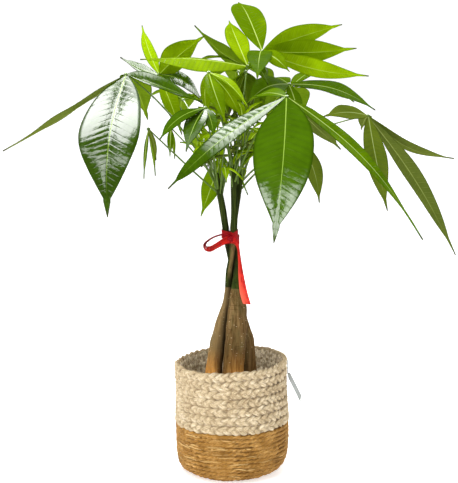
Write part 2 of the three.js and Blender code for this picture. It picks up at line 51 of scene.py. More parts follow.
# ---------------------------------------------------------------- shader helpers
class Field:
    """A number or colour that varies from place to place. Sums and products of fields add their nodes."""

    def __init__(self, socket):
        self.socket = socket
        self.tree = socket.id_data

    def __add__(self, other):
        return calc("ADD", self, other)

    def __sub__(self, other):
        return calc("SUBTRACT", self, other)

    def __rsub__(self, other):
        return calc("SUBTRACT", other, self)

    def __mul__(self, other):
        return calc("MULTIPLY", self, other)

    def __abs__(self):
        return calc("ABSOLUTE", self)

    __radd__ = __add__

    def clamped(self):
        """The same sum or product, held between 0 and 1."""
        self.socket.node.use_clamp = True
        return self

    def axis(self, number):
        """The X, Y or Z of a place, by number."""
        return Field(add_node(self.tree, "SeparateXYZ", {0: self}).outputs[number])


def feed(socket, value):
    """Links a field or another socket to this one, or sets on it a value that is the same all over."""
    if isinstance(value, Field):
        value = value.socket
    if isinstance(value, bpy.types.NodeSocket):
        socket.id_data.links.new(value, socket)
    elif isinstance(value, tuple) and len(value) == 3 and len(socket.default_value) == 4:
        socket.default_value = (*value, 1)
    else:
        socket.default_value = value


def add_node(tree, kind, inputs=(), **settings):
    node = tree.nodes.new("ShaderNode" + kind)
    for key, value in settings.items():
        setattr(node, key, value)
    for key, value in dict(inputs).items():
        feed(node.inputs[key], value)
    return node


def tree_of(*values):
    """The node tree of the first field among the values."""
    return next(value.tree for value in values if isinstance(value, Field))


def calc(operation, *values):
    return Field(add_node(tree_of(*values), "Math", enumerate(values), operation=operation).outputs[0])


def between(value, low, high):
    """0 below low, 1 above high, smooth between them."""
    node = add_node(value.tree, "MapRange", {"Value": value, "From Min": low, "From Max": high},
                    interpolation_type="SMOOTHSTEP")
    return Field(node.outputs["Result"])


def blend(share, a, b, how="MIX"):
    """Colour a where share is 0, and colour b where it is 1."""
    node = add_node(tree_of(share, a, b), "Mix", {"Factor": share, 6: a, 7: b}, data_type="RGBA",
                    blend_type=how)
    return Field(node.outputs[2])


def greyed(colour, share, low, high=1.1):
    """The colour times a grey that goes from low to high with share."""
    return blend(1.0, colour, blend(share, (low,) * 3, (high,) * 3), "MULTIPLY")


def vector(x, y, z=0.0):
    return Field(add_node(x.tree, "CombineXYZ", {0: x, 1: y, 2: z}).outputs[0])


def stretch(where, scales):
    return Field(add_node(where.tree, "Mapping", {"Vector": where, "Scale": scales}).outputs[0])


def grain(where, scale, detail=3.0, rough=0.55, warp=0.0):
    """Cloudy noise from 0 to 1. The scale is one number, or three for a noise that is drawn out."""
    if isinstance(scale, tuple):
        where, scale = stretch(where, scale), 1
    node = add_node(where.tree, "TexNoise", {"Vector": where, "Scale": scale, "Detail": detail,
                                             "Roughness": rough, "Distortion": warp})
    return Field(node.outputs["Fac"])


def spots(where, scale, spread=1.0):
    """How far the nearest of many scattered spots is."""
    node = add_node(where.tree, "TexVoronoi", {"Vector": where, "Scale": scale, "Randomness": spread})
    return Field(node.outputs["Distance"])


class Finish:
    """A material in the making: its skin is a Principled shader, and place is a point of the piece."""

    def __init__(self, name):
        self.material = bpy.data.materials.new(name)
        self.material.use_nodes = True
        self.tree = self.material.node_tree
        self.tree.nodes.clear()
        self.skin = add_node(self.tree, "BsdfPrincipled")
        self.out = add_node(self.tree, "OutputMaterial", {"Surface": self.skin.outputs[0]})
        self.place = Field(add_node(self.tree, "TexCoord").outputs["Object"])
        self.normal = None

    def own(self, *names):
        """The attributes that the piece carries under these names."""
        fields = [Field(add_node(self.tree, "Attribute", attribute_name=name).outputs["Fac"])
                  for name in names]
        return fields if len(names) > 1 else fields[0]

    def fill(self, values):
        """Sets or links the skin's own sockets."""
        for name, value in values.items():
            feed(self.skin.inputs[name], value)

    def relief(self, height, distance, strength):
        """A bump on top of the bumps made before it."""
        bump = add_node(self.tree, "Bump", {"Height": height, "Distance": distance, "Strength": strength})
        if self.normal:
            feed(bump.inputs["Normal"], self.normal)
        self.normal = Field(bump.outputs[0])
        self.fill({"Normal": self.normal})


# ---------------------------------------------------------------- camera, light, floor
EYE_HEIGHT = 0.456
EYE_BACK = 1.3
LOOK_DOWN = math.radians(7.6)
LENS = 80.94
# Each lamp's place, the height on the plant that it aims at, its width and height, and its power.
LAMPS = {
    "overhead": ((-0.35, -0.45, 1.75), 0.3, 1.3, 1.0, 27),
    "front_left": ((-1.5, -1.5, 1.1), 0.25, 0.9, 0.9, 15),
    "front_right": ((1.6, -1.3, 0.9), 0.25, 0.9, 0.9, 5),
    "behind": ((0.4, 1.5, 1.3), 0.3, 1.2, 0.8, 13),
}
# Each softbox's direction, the cosines at its soft rim and at its even middle, and its strength.
SOFTBOXES = [
    ((-0.15, 0.45, 0.88), 0.82, 0.95, 9.0),
    ((-0.70, -0.22, 0.68), 0.895, 0.96, 18.0),
    ((0.52, 0.60, 0.60), 0.87, 0.95, 12.0),
    ((-0.50, -0.85, -0.16), 0.955, 0.985, 9.0),
]
WINDOW = ((-0.75, -0.66, 0), 0.80, 0.94, 9.0)
DOME, PAPER = 0.62, 1.05
FLOOR_GLOW = 0.55


def place_camera():
    bpy.ops.object.camera_add(location=(0, -EYE_BACK, EYE_HEIGHT), rotation=(math.pi / 2 - LOOK_DOWN, 0, 0))
    camera = bpy.context.object
    camera.data.lens = LENS
    camera.data.sensor_width = 36
    camera.data.clip_start = 0.01
    bpy.context.scene.camera = camera


def hang_lamps():
    for name, (place, aim, wide, high, power) in LAMPS.items():
        bpy.ops.object.light_add(type="AREA", location=place)
        lamp = bpy.context.object
        lamp.name = name
        lamp.data.shape = "RECTANGLE"
        lamp.data.size = wide
        lamp.data.size_y = high
        lamp.data.energy = power
        lamp.visible_glossy = False
        lamp.rotation_euler = (Vector((0, 0, aim)) - Vector(place)).to_track_quat("-Z", "Y").to_euler()


def softbox(way, axis, low, high, strength):
    """A bright patch of the room round an axis, as it shows in the gloss of the leaves."""
    near = add_node(way.tree, "VectorMath", {0: way, 1: Vector(axis).normalized()}, operation="DOT_PRODUCT")
    return between(Field(near.outputs["Value"]), low, high) * strength


def light_the_studio():
    """A white room: an even dome for soft light, and a dark surround with bright softboxes in the gloss."""
    world = bpy.data.worlds.new("studio")
    bpy.context.scene.world = world
    world.use_nodes = True
    tree = world.node_tree
    tree.nodes.clear()
    seen = add_node(tree, "LightPath").outputs
    way = Field(add_node(tree, "TexCoord").outputs["Generated"])
    up = way.axis(2)
    room = 0.10 + between(up, 0.30, 0.85) * 0.25
    for box in SOFTBOXES:
        room += softbox(way, *box)
    band = between(up, 0.02, 0.06) - between(up, 0.14, 0.22)
    room += band * softbox(way, *WINDOW)
    ceiling, dome, paper = (add_node(tree, "Background", {"Color": WHITE, "Strength": strength}).outputs[0]
                            for strength in (room, DOME, PAPER))
    light = add_node(tree, "MixShader", {0: seen["Is Glossy Ray"], 1: dome, 2: ceiling})
    whole = add_node(tree, "MixShader", {0: seen["Is Camera Ray"], 1: light.outputs[0], 2: paper})
    add_node(tree, "OutputWorld", {"Surface": whole.outputs[0]})
    hang_lamps()
    bpy.context.scene.view_settings.view_transform = "Standard"


def lay_floor():
    pick()
    bpy.ops.mesh.primitive_plane_add(size=400, location=(0, 0, 0))
    floor = bpy.context.object
    floor.name = "floor"
    floor.visible_glossy = False
    finish = Finish("pale_floor")
    shade = blend(grain(finish.place, 3, 2), (0.90, 0.90, 0.90), (0.93, 0.93, 0.93))
    finish.fill({"Base Color": shade, "Roughness": 0.95, "Specular IOR Level": 0.05, "Emission Color": WHITE,
                 "Emission Strength": FLOOR_GLOW})
    dress(floor, finish)


# ---------------------------------------------------------------- modelling helpers
def pick(*pieces):
    """Selects these pieces and nothing else, with the first one active."""
    bpy.ops.object.select_all(action="DESELECT")
    for piece in pieces:
        piece.select_set(True)
    if pieces:
        bpy.context.view_layer.objects.active = pieces[0]


@contextmanager
def edited(piece):
    """Edit mode on a piece, with all of it selected."""
    pick(piece)
    bpy.ops.object.mode_set(mode="EDIT")
    bpy.ops.mesh.select_all(action="SELECT")
    yield
    bpy.ops.object.mode_set(mode="OBJECT")


def sheet_of(name, columns, rows, place):
    """A grid whose vertex at (u, v), both 0 to 1, goes where place(u, v) puts it, in millimetres.

    place also gives the values to note on the mesh for its finish, by name.
    """
    pick()
    bpy.ops.mesh.primitive_grid_add(x_subdivisions=columns, y_subdivisions=rows, size=1)
    piece = bpy.context.object
    piece.name = piece.data.name = name
    flat = np.empty(len(piece.data.vertices) * 3)
    piece.data.vertices.foreach_get("co", flat)
    flat = flat.reshape(-1, 3)
    points, marks = place(flat[:, 0] + 0.5, flat[:, 1] + 0.5)
    piece.data.vertices.foreach_set("co", (points * MM).ravel())
    piece.data.update()
    for mark, values in marks.items():
        note(piece, mark, values)
    return piece


def note(piece, name, values):
    field = piece.data.attributes.new(name, "FLOAT", "POINT")
    field.data.foreach_set("value", np.asarray(values, dtype=np.float32))


def close_up(piece, caps=False, weld=1e-6):
    """Welds the seam of a rolled grid, fills its open ends and turns its faces outwards."""
    with edited(piece):
        bpy.ops.mesh.remove_doubles(threshold=weld)
        if caps:
            bpy.ops.mesh.fill_holes(sides=0)
            bpy.ops.mesh.select_all(action="SELECT")
        bpy.ops.mesh.normals_make_consistent(inside=False)


def rolled(name, columns, rows, place, caps=False):
    """A grid that place rolls up, closed along its seam."""
    piece = sheet_of(name, columns, rows, place)
    close_up(piece, caps)
    return piece


def set_in_place(piece):
    """Puts the object at the origin, unturned, with its place in its mesh."""
    pick(piece)
    bpy.ops.object.transform_apply(location=True, rotation=True, scale=True)


def join(name, pieces):
    pick(*pieces)
    bpy.ops.object.join()
    whole = bpy.context.object
    whole.name = whole.data.name = name
    return whole


def dress(piece, *finishes, slot=0):
    piece.data.materials.clear()
    for finish in finishes:
        piece.data.materials.append(finish.material)
    piece.data.polygons.foreach_set("material_index", np.full(len(piece.data.polygons), slot, dtype=np.int32))


def thicken(piece, wall, offset=0, **settings):
    """Gives a dressed sheet its wall in millimetres, to both sides, or to its back where offset is -1."""
    solid = piece.modifiers.new("wall", "SOLIDIFY")
    solid.thickness = wall * MM
    solid.offset = offset
    for key, value in settings.items():
        setattr(solid, key, value)
    pick(piece)
    bpy.ops.object.modifier_apply(modifier=solid.name)


def settle(piece, angle, slot, *nodes):
    """Smooths the piece, which rides on the plant, and stands for these solids. The slot is not used."""
    pick(piece)
    bpy.ops.object.shade_smooth_by_angle(angle=math.radians(angle))
    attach(piece, "root")
    if nodes:
        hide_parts(*nodes)


# ---------------------------------------------------------------- curves and noise
def unit(v):
    return v / np.linalg.norm(v, axis=-1, keepdims=True)


def clouds(x, y, z):
    """Smooth noise between about -1 and 1 at each of the points."""
    return np.array([noise.noise(Vector(point)) for point in np.broadcast(x, y, z)])


def hum(x, seed):
    """A smooth wandering value between about -1 and 1, one for each number in x."""
    return clouds(x, seed * 7.31, seed * 1.7) * 1.6


def smooth(table, t, c):
    """Value of column c at t, on a smooth curve through the table's rows."""
    last = len(table) - 1
    k = 0
    while k < last - 1 and t >= table[k + 1][0]:
        k += 1

    def slope(j):
        a, b = table[max(j - 1, 0)], table[min(j + 1, last)]
        return (b[c] - a[c]) / (b[0] - a[0])

    p, q = table[k], table[k + 1]
    span = q[0] - p[0]
    s = min(max((t - p[0]) / span, 0), 1)
    ease = s * s * (3 - 2 * s)
    return p[c] + (q[c] - p[c]) * ease + span * s * (1 - s) * ((1 - s) * slope(k) - s * slope(k + 1))


def curve_through(points, t):
    """A smooth curve through the points, at t from 0 to 1, evenly by point."""
    points = np.array(points, float)
    last = len(points) - 1
    x = np.clip(t, 0, 1) * last
    k = np.minimum(x.astype(int), last - 1)
    s = (x - k)[:, None]
    a, b, c, d = (points[np.clip(k + step, 0, last)] for step in (-1, 0, 1, 2))
    return 0.5 * (2 * b + (c - a) * s + (2 * a - 5 * b + 4 * c - d) * s ** 2
                  + (3 * b - a - 3 * c + d) * s ** 3)


def heading(points, t):
    """The way that the curve through the points runs at t."""
    return unit(curve_through(points, t + 1e-3) - curve_through(points, t - 1e-3))


def around(r, a, z, aside=0.0):
    """Points at radius r, angle a and height z, round an axis that lies aside along X."""
    return np.stack([r * np.cos(a) + aside, r * np.sin(a), z], axis=1)


# ---------------------------------------------------------------- leaf finishes
# Each side of a blade: its deep and light green, its ribs, how much light it lets through and in what
# colour, and its gloss. An underside follows each upper side and has no gloss.
LEAF_SIDES = {
    "deep_green_top": ((0.018, 0.042, 0.001), (0.055, 0.125, 0.002), (0.28, 0.42, 0.06),
                       0.08, (0.30, 0.55, 0.005), 1.0),
    "deep_green_under": ((0.075, 0.125, 0.008), (0.150, 0.225, 0.015), (0.28, 0.40, 0.06),
                         0.14, (0.36, 0.58, 0.01), 0),
    "mid_green_top": ((0.045, 0.100, 0.001), (0.150, 0.270, 0.002), (0.56, 0.70, 0.18),
                      0.20, (0.46, 0.75, 0.005), 0.7),
    "mid_green_under": ((0.085, 0.150, 0.005), (0.200, 0.310, 0.010), (0.38, 0.50, 0.08),
                        0.24, (0.50, 0.75, 0.005), 0),
    "fresh_green_top": ((0.100, 0.180, 0.001), (0.370, 0.540, 0.003), (0.72, 0.86, 0.22),
                        0.32, (0.68, 0.95, 0.003), 0.3),
    "fresh_green_under": ((0.130, 0.215, 0.001), (0.420, 0.600, 0.004), (0.60, 0.74, 0.12),
                          0.38, (0.70, 0.95, 0.003), 0),
    "olive_top": ((0.055, 0.088, 0.006), (0.140, 0.185, 0.016), (0.36, 0.44, 0.14),
                  0.20, (0.42, 0.56, 0.01), 0.35),
    "olive_under": ((0.066, 0.092, 0.014), (0.135, 0.172, 0.028), (0.30, 0.36, 0.09),
                    0.20, (0.42, 0.54, 0.02), 0),
}
TIP_BROWN = (0.035, 0.036, 0.012)


def leaf_finish(name, deep, light, rib, glow, glow_colour, gloss):
    """One side of a leaf blade. deep and light are mixed by the leaflet's tone and by soft patches."""
    finish = Finish(name)
    place, under = finish.place, gloss == 0
    tone, from_rib, vein, along, edge = finish.own("tone", "rib", "vein", "stretch", "edge")
    fine = grain(place, 900)
    wave = abs(calc("FRACT", vein) - 0.5)
    side_vein = between(wave, 0.36, 0.5)
    pillow = 1 - between(wave, 0.0, 0.34)
    uneven = (grain(place, 42, 2) - 0.5) * 0.8 + (grain(place, 16, 1) - 0.5) * 0.7
    # Painted light brightens the quilted pillows between the side veins, and on the upper side painted shade
    # darkens the vein valleys; on the underside the veins are paler.
    share = tone + uneven + pillow * 0.08 + side_vein * (0.12 if under else -0.20)
    colour = greyed(blend(share.clamped(), deep, light), 0.86 + fine * 0.28, 0.7)

    fade = between(from_rib, 0.4, 2.5) * (1 - between(from_rib, 4.0, 24.0) * 0.75)
    crest = between(wave, 0.455, 0.5) * between(grain(place, 110, 2), 0.35, 0.65)
    colour = blend(crest * fade * (0.46 if under else 0.30), colour, rib)
    reach = 1.15 - along * 0.85
    midrib = 1 - between(from_rib, reach * 0.25, reach * 0.85)
    strength = 1 - between(along, 0.55, 0.93)
    colour = blend(midrib * strength * 0.90, colour, rib)
    colour = blend(between(edge, 0.86, 1.0) * 0.75, colour, deep)
    colour = blend(between(along, 0.93, 1.0) * 0.85, colour, TIP_BROWN)
    finish.fill({"Base Color": colour, "Roughness": 0.45 + fine * 0.15, "Specular IOR Level": 0.0,
                 "Coat Roughness": 0.10, "Coat IOR": 1.55})

    finish.relief(fine * 0.10 + side_vein * fade * (0.8 if under else -0.5) + grain(place, 160, 2) * 1.2,
                  0.00035, 0.8)
    finish.fill({"Coat Normal": finish.normal})
    if not under:
        dull_rim = calc("MAXIMUM", between(edge, 0.87, 0.95), between(along, 0.94, 0.985))
        shine = finish.own("polish") * gloss * (1 - dull_rim * 0.9) * (1 - midrib * 0.55)
        finish.fill({"Coat Weight": shine})
    through = add_node(finish.tree, "BsdfTranslucent", {"Color": blend(0.5, colour, glow_colour)})
    mix = add_node(finish.tree, "MixShader", {0: glow, 1: finish.skin.outputs[0], 2: through.outputs[0]})
    feed(finish.out.inputs["Surface"], mix.outputs[0])
    return finish


def stalk_finish():
    finish = Finish("leaf_stalk_green")
    streak = grain(finish.place, (900, 900, 60))
    colour = blend(streak, (0.030, 0.070, 0.004), (0.150, 0.250, 0.016))
    finish.fill({"Base Color": colour, "Roughness": 0.42, "Coat Weight": 0.8, "Coat Roughness": 0.12})
    finish.relief(streak, 0.0003, 0.5)
    return finish


# ---------------------------------------------------------------- the plant's tables, as in the solids
# Name, where the flutes start, and rows of height, X, Y and radius.
TRUNKS = [
    ("trunk_left", 0.4, [
        [50, -18.4, 0, 10.8], [98, -18.4, 0, 10.8], [123, -18.2, 0, 10.8], [158, -13.4, 1.2, 10.1],
        [173, -10.6, 2.2, 8.8], [187, -7.9, 3.4, 7.6], [207, -2.2, 5.6, 6.1], [221, -0.5, 4.6, 5.4],
        [230, -0.4, 2, 5], [246, 0.2, -2.2, 4.4], [264, 2.8, -4.4, 4], [284, 4.3, -4.8, 4.2],
        [300, 5.8, -4.7, 4.3], [330, 6.3, -5.5, 4.1], [350, 5.8, -6.6, 4], [366, 5.6, -7.6, 3.7],
        [375, 5.4, -8.2, 2.3]]),
    ("trunk_middle", 1.9, [
        [50, 4.6, -12.8, 13.6], [98, 4.6, -12.8, 13.6], [123, 4.6, -12.6, 13.7], [145, 5.9, -11.8, 13.3],
        [166, 7.6, -10.8, 13.3], [187, 9, -9.2, 12.9], [207, 10, -8.2, 11.2], [221, 8.4, -6.4, 7.8],
        [230, 8.6, -5.6, 5.8], [246, 9.4, -3, 4.6], [264, 9.7, 0.4, 4], [284, 6.8, 3.8, 4.2],
        [300, 5.6, 5, 4.3], [330, 9.6, 4.8, 4.1], [350, 12.4, 5.4, 4], [366, 14.6, 6.6, 3.7],
        [375, 15.6, 7.4, 2.3]]),
    ("trunk_right", 3.1, [
        [50, 21.4, 11.4, 12.6], [98, 21.4, 11.4, 12.6], [123, 21.4, 11.2, 12.4], [158, 20.4, 10.8, 11],
        [173, 17.4, 12, 9.8], [187, 14, 12.8, 8.5], [207, 13.4, 12.6, 7.6], [228, 10.6, 7.6, 5.4],
        [246, 5.4, 5.4, 4.4], [264, 1.8, 4.2, 4], [284, -2, 1.4, 4.2], [300, -4, -0.6, 4.3],
        [330, -8.8, -1.4, 4.3], [348, -12.8, -1.2, 4], [358, -14.2, -1, 3.6], [366, -14.6, -0.8, 2.2]]),
]
TRUNK_FLUTE = 0.045

# The slots of the leaves' finishes: the upper side of each kind of leaflet, with its underside next, and
# the stalk.
DEEP, MID, FRESH, OLIVE = 0, 2, 4, 6
STALK = 8
# Name, trunk, height of the stalk's root, hub, how far the stalk bows up, leaflets. A leaflet is its tip,
# width, bow upwards, kind and tone, and then, up to the last that isn't as usual, its turn about its rib in
# degrees, bow sideways, fold in degrees and the place of its widest part along it.
LEAVES = [
    ("leaf_left_front", 2, 352, (-115, -70, 481), 30, [
        (-134, -110, 324, 78, 22, DEEP, 0.1, 0, -3), (-262, -40, 394, 40, -3, OLIVE, 0.6),
        (-98, 20, 428, 36, 8, MID, 0.5, 0, 0, 12, 0.4), (-32, -6, 450, 31, 1, DEEP, 0.7, -42, -4, 26),
        (-117, 36, 461, 22, 4, MID, 0.4)]),
    ("leaf_left_up", 2, 362, (-85, 30, 483), 10, [
        (-107, 60, 543, 19, 0, FRESH, 0.95, 0, -3), (-30, 40, 529, 38, 2, FRESH, 0.4, 60, -3, 12, 0.42),
        (-127, -10, 502, 24, -4, DEEP, 0.9, 42, -2), (-56, 0, 411, 24, 2, FRESH, 0.0, 103),
        (-31, 62, 447, 26, 10, DEEP, 0.6, -53, -1)]),
    ("leaf_upper_left", 0, 371, (22, 10, 492), 0, [
        (-105, 0, 500, 30, 4, FRESH, 0.45, 35, -5, -22), (-48, 118, 500, 28, 9, MID, 0.5, 0, 4),
        (-42, 60, 543, 31, -7, MID, 0.35, -51, 3, 12, 0.42),
        (0, 66, 549, 29, 6, FRESH, 0.5, 0, -4, 12, 0.5), (45, -40, 470, 22, 8, MID, 0.3)]),
    ("leaf_top", 1, 373, (40, 36, 511), 0, [
        (139, 60, 544, 32, 2, FRESH, 0.4, 60), (154, 30, 514, 35, -3, FRESH, 0.2, 55),
        (163, -20, 480, 30, -6, FRESH, 0.55, 48, 1, 12, 0.5),
        (12, 122, 576, 42, 15, FRESH, 0.0, 0, -6, 12, 0.5),
        (31, -90, 475, 30, 10, MID, 0.1, 0, 0, 12, 0.5),
        (71, -12, 485, 17, 3, FRESH, 0.1, -58, 0, 12, 0.5)]),
    ("leaf_right_front", 0, 356, (62, -120, 456), 24, [
        (47, -170, 303, 67, 22, DEEP, 0.65, 0, -8), (-65, -150, 359, 27, 7, DEEP, 0.4, 35, -4, 12, 0.58),
        (212, -125, 301, 25, 14, MID, 0.3, -34, -1, 12, 0.38), (17, -50, 447, 26, 8, MID, 0.2, 20),
        (127, -64, 397, 36, 1, OLIVE, 0.3, 7, -3, 12, 0.5)]),
    ("leaf_right", 1, 356, (163, -20, 434), 30, [
        (182, -60, 326, 30, 8, OLIVE, 0.4, 0, 7, 12, 0.48),
        (270, -20, 269, 25, 7, OLIVE, 0.4, 45, 0, 12, 0.48),
        (273, 20, 382, 22, -12, OLIVE, 0.9, 20, 0, 12, 0.5), (107, -64, 434, 26, 4, OLIVE, 0.5, 40),
        (161, 30, 416, 16, 4, OLIVE, 0.5)]),
    ("leaf_upper_right", 1, 366, (73, 40, 471), 8, [
        (177, 20, 440, 34, 10, MID, 0.05, -25, 0, 12, 0.5), (21, -12, 448, 34, 8, MID, 0.2, 35),
        (85, 0, 422, 18, 4, MID, 0.3), (136, 110, 464, 24, 6, MID, 0.3), (43, 120, 472, 28, 8, MID, 0.3)]),
    ("leaf_young_front", 0, 373, (-23, -60, 483), 8, [
        (-3, -90, 426, 26, 5, FRESH, 0.1, 6, 5), (22, -78, 443, 15, 6, FRESH, 0.6, -17, 2, 34),
        (-23, -36, 431, 19, 3, FRESH, 0.0, -47, -4), (14, -44, 433, 34, 7, FRESH, 0.1, 29, -6, 12, 0.5)]),
    ("leaf_front_left", 2, 347, (-26, -100, 444), 10, [
        (-75, -130, 410, 21, 7, DEEP, 0.6, 19, 0, 12, 0.5), (-46, -140, 398, 26, 5, DEEP, 0.5),
        (-16, -124, 412, 16, 4, DEEP, 0.7)]),
    ("leaf_small_left", 2, 343, (-93, -40, 419), -4, [
        (-84, -44, 383, 12, 2, OLIVE, 0.9), (-86, -30, 364, 5, 2, MID, 0.2),
        (-98, -52, 362, 5, 2, MID, 0.3)]),
    ("leaf_small_middle", 2, 357, (-69, 0, 419), 4, [
        (-65, 6, 382, 6, 1, MID, 0.4), (-70, -10, 385, 8, 2, MID, 0.3)]),
    ("leaf_low_left", 1, 351, (-9, 30, 382), 2, [
        (-35, 34, 309, 30, 0, FRESH, 0.1, 60), (-9, 56, 344, 20, 4, FRESH, 0.3),
        (24, 44, 335, 12, 4, MID, 0.3)]),
    ("leaf_low_right", 1, 346, (84, 20, 404), 8, [
        (111, 26, 327, 28, 6, OLIVE, 0.5, -60, 0, 12, 0.5), (79, 60, 352, 24, 8, MID, 0.3),
        (59, 66, 362, 24, 8, MID, 0.3)]),
    ("leaf_back_left", 2, 360, (-59, 105, 452), 20, [
        (-80, 178, 434, 36, 14, MID, 0.5), (-68, 226, 417, 42, 20, MID, 0.4),
        (-16, 190, 431, 36, 12, MID, 0.3), (-108, 128, 454, 30, 10, MID, 0.5)]),
    ("leaf_back_middle", 1, 371, (12, 125, 488), 14, [
        (-31, 196, 470, 36, 14, MID, 0.4), (8, 244, 462, 44, 22, MID, 0.5),
        (66, 212, 468, 36, 14, MID, 0.4), (-30, 130, 508, 28, 8, MID, 0.5)]),
    ("leaf_back_right", 1, 361, (78, 100, 467), 20, [
        (166, 150, 449, 34, 12, MID, 0.5), (96, 214, 413, 42, 18, MID, 0.4),
        (50, 186, 419, 34, 12, MID, 0.3), (134, 160, 491, 28, 8, MID, 0.4)]),
    ("leaf_back_low", 1, 341, (41, 92, 412), 14, [
        (21, 160, 372, 34, 12, FRESH, 0.0), (79, 158, 365, 34, 12, MID, 0.4),
        (1, 116, 400, 24, 8, MID, 0.3)]),
    ("leaf_back_low_left", 2, 338, (-42, 84, 414), 14, [
        (-41, 146, 375, 30, 12, MID, 0.4), (-9, 150, 359, 38, 12, FRESH, 0.0),
        (-60, 88, 432, 20, 8, MID, 0.5)]),
]
# The leaf in the middle of the crown, half hidden. The solids have none there.
INNER_LEAF = (1, 352, (20, 34, 486), 4, [
    (6, 44, 428, 30, 4, MID, 0.55, 10), (42, 54, 434, 34, 4, MID, 0.25, -10),
    (-14, 54, 450, 26, 4, FRESH, 0.1, 20), (24, 66, 442, 28, 6, MID, 0.2),
    (22, 66, 408, 38, 4, MID, 0.35, -20), (-10, 60, 404, 30, 4, OLIVE, 0.3, 20)])

# How glossy the upper side of each leaflet is at its base and at its tip, and how far along it the change
# starts. Leaves not listed are DULL.
DULL = (0.015, 0.015, 0)
POLISH = {
    "leaf_left_front": ((1.1, 0.75, 0.3), DULL, DULL, (0.5, 0.1, 0.3), DULL),
    "leaf_left_up": (DULL, DULL, (0.6, 0.4, 0.3), DULL, (0.6, 0.3, 0.6)),
    "leaf_upper_left": ((1.2, 1.6, 0.2), (0.3, 0.3, 0), DULL, DULL, (0.8, 0.1, 0.2)),
    "leaf_top": (DULL, DULL, DULL, DULL, (0.06, 0.03, 0.1), DULL),
    "leaf_right_front": ((0.0, 1.05, 0.52), (1.1, 0.0, 0.45), DULL, (0.08, 0.08, 0), (0.1, 0.05, 0)),
    "leaf_upper_right": (DULL, (0.03, 0.03, 0), DULL, DULL, DULL),
    "leaf_young_front": ((0.3, 0.1, 0.2), (1.2, 0.8, 0.3), DULL, (0.4, 0.1, 0.2)),
    "leaf_front_left": ((0.1, 0.0, 0), (1.2, 0.1, 0.25), (0.5, 0.1, 0.2)),
}
GLOSS_CHANGE = 0.22


def trunk_centre(route, z):
    return np.array([smooth(route, z, 1), smooth(route, z, 2), z])


# ---------------------------------------------------------------- leaves
DRIP_FROM = 0.93
BLADE_WALL = 1.5
SIDE_VEINS, VEINS_NEAR, VEINS_FAR = 21, 4.0, 7.0
VEIN_SLANT = 0.42
SHOOTS = 32


def leaflet_width(t, width, widest):
    """An oval that widens quickly from its base and draws out into a thin, concave drip tip."""
    s = np.clip(t / DRIP_FROM, 0, 1)
    oval = width * (s / widest) * ((1 - s) / (1 - widest)) ** ((1 - widest) / widest)
    drip = 0.8 + (0.11 * width) * np.clip((1 - t) / 0.1, 0, 1)
    base = 1.8 * (1 - np.clip(t / 0.1, 0, 1)) + 0.4
    return np.maximum(oval, np.where(t < 0.5, base, np.where(t > 0.8, drip, 0)))


def leaflet(slots, hub, polish, seed, x, y, z, width, bow, kind, tone, roll=0, sweep=0, fold=12, widest=0.45):
    """A blade that runs from the hub to its tip, quilted between its side veins, with a wavy edge."""
    hub = np.array(hub, float)
    reach = np.array([x, y, z]) - hub
    length = np.linalg.norm(reach)
    along = reach / length
    lift = unit(np.array([0, 0, 1.0]) - along * along[2])
    level = np.cross(along, lift)
    bend = lift * bow + level * sweep
    turn = math.radians(roll)
    across = level * math.cos(turn) + lift * math.sin(turn)
    fold = math.radians(fold)
    spacing = min(VEINS_FAR, max(VEINS_NEAR, length / SIDE_VEINS))
    wander = random.Random(seed)
    shift, wave = wander.random() * TAU, 1.5 + wander.random()
    marks = {}

    def place(u, t):
        side = 2 * u - 1
        side = np.sign(side) * np.abs(side) ** 1.25
        out = np.abs(side)
        rib = hub + reach * t[:, None] + bend * np.sin(math.pi * t)[:, None]
        slope = unit(reach + bend * (math.pi * np.cos(math.pi * t))[:, None])
        hand = unit(across - slope * (slope @ across)[:, None])
        face = np.cross(hand, slope)
        half = leaflet_width(t, width, widest) / 2
        body = np.clip(half * 2 / max(width, 1), 0, 1)
        phase = (t * length - VEIN_SLANT * out * half) / spacing
        quilt = 0.050 * spacing * (np.sin(math.pi * phase) ** 2 - 0.5) * np.clip(out * 4, 0, 1) * body
        quilt *= 1 + 2.0 * clouds(phase * 0.55, side * 1.3, seed * 3.7)
        quilt *= 1 - 0.55 * out ** 3
        edge = 0.022 * width * np.sin(TAU * wave * t + shift + 1.3 * side) * out ** 2 * body
        arch = half * (math.sin(fold) * out - 0.16 * out ** 2 + 0.05 * body * out)
        ridge = 0.25 * np.exp(-((out * half / 0.7) ** 2))
        shine = polish[0] + (polish[1] - polish[0]) * np.clip((t - polish[2]) / GLOSS_CHANGE, 0, 1)
        marks.update(rib=out * half, vein=phase, tone=np.full(len(u), tone), stretch=t, edge=out,
                     polish=shine)
        points = (rib + hand * (side * half * math.cos(fold))[:, None]
                  + face * (arch + quilt + edge + ridge)[:, None])
        return points, marks

    columns = 16 if width > 24 else 10 if width > 9 else 6
    rows = int(min(110, max(26, length / 1.5)))
    blade = sheet_of("blade", columns, rows, place)
    thick = blade.vertex_groups.new(name="thick")
    for i, from_rib in enumerate(marks["rib"]):
        thick.add([i], 0.35 + 0.65 * math.exp(-(from_rib / 1.1) ** 2), "REPLACE")
    dress(blade, *slots, slot=kind)
    thicken(blade, BLADE_WALL, -1, vertex_group="thick", material_offset=1)
    return blade


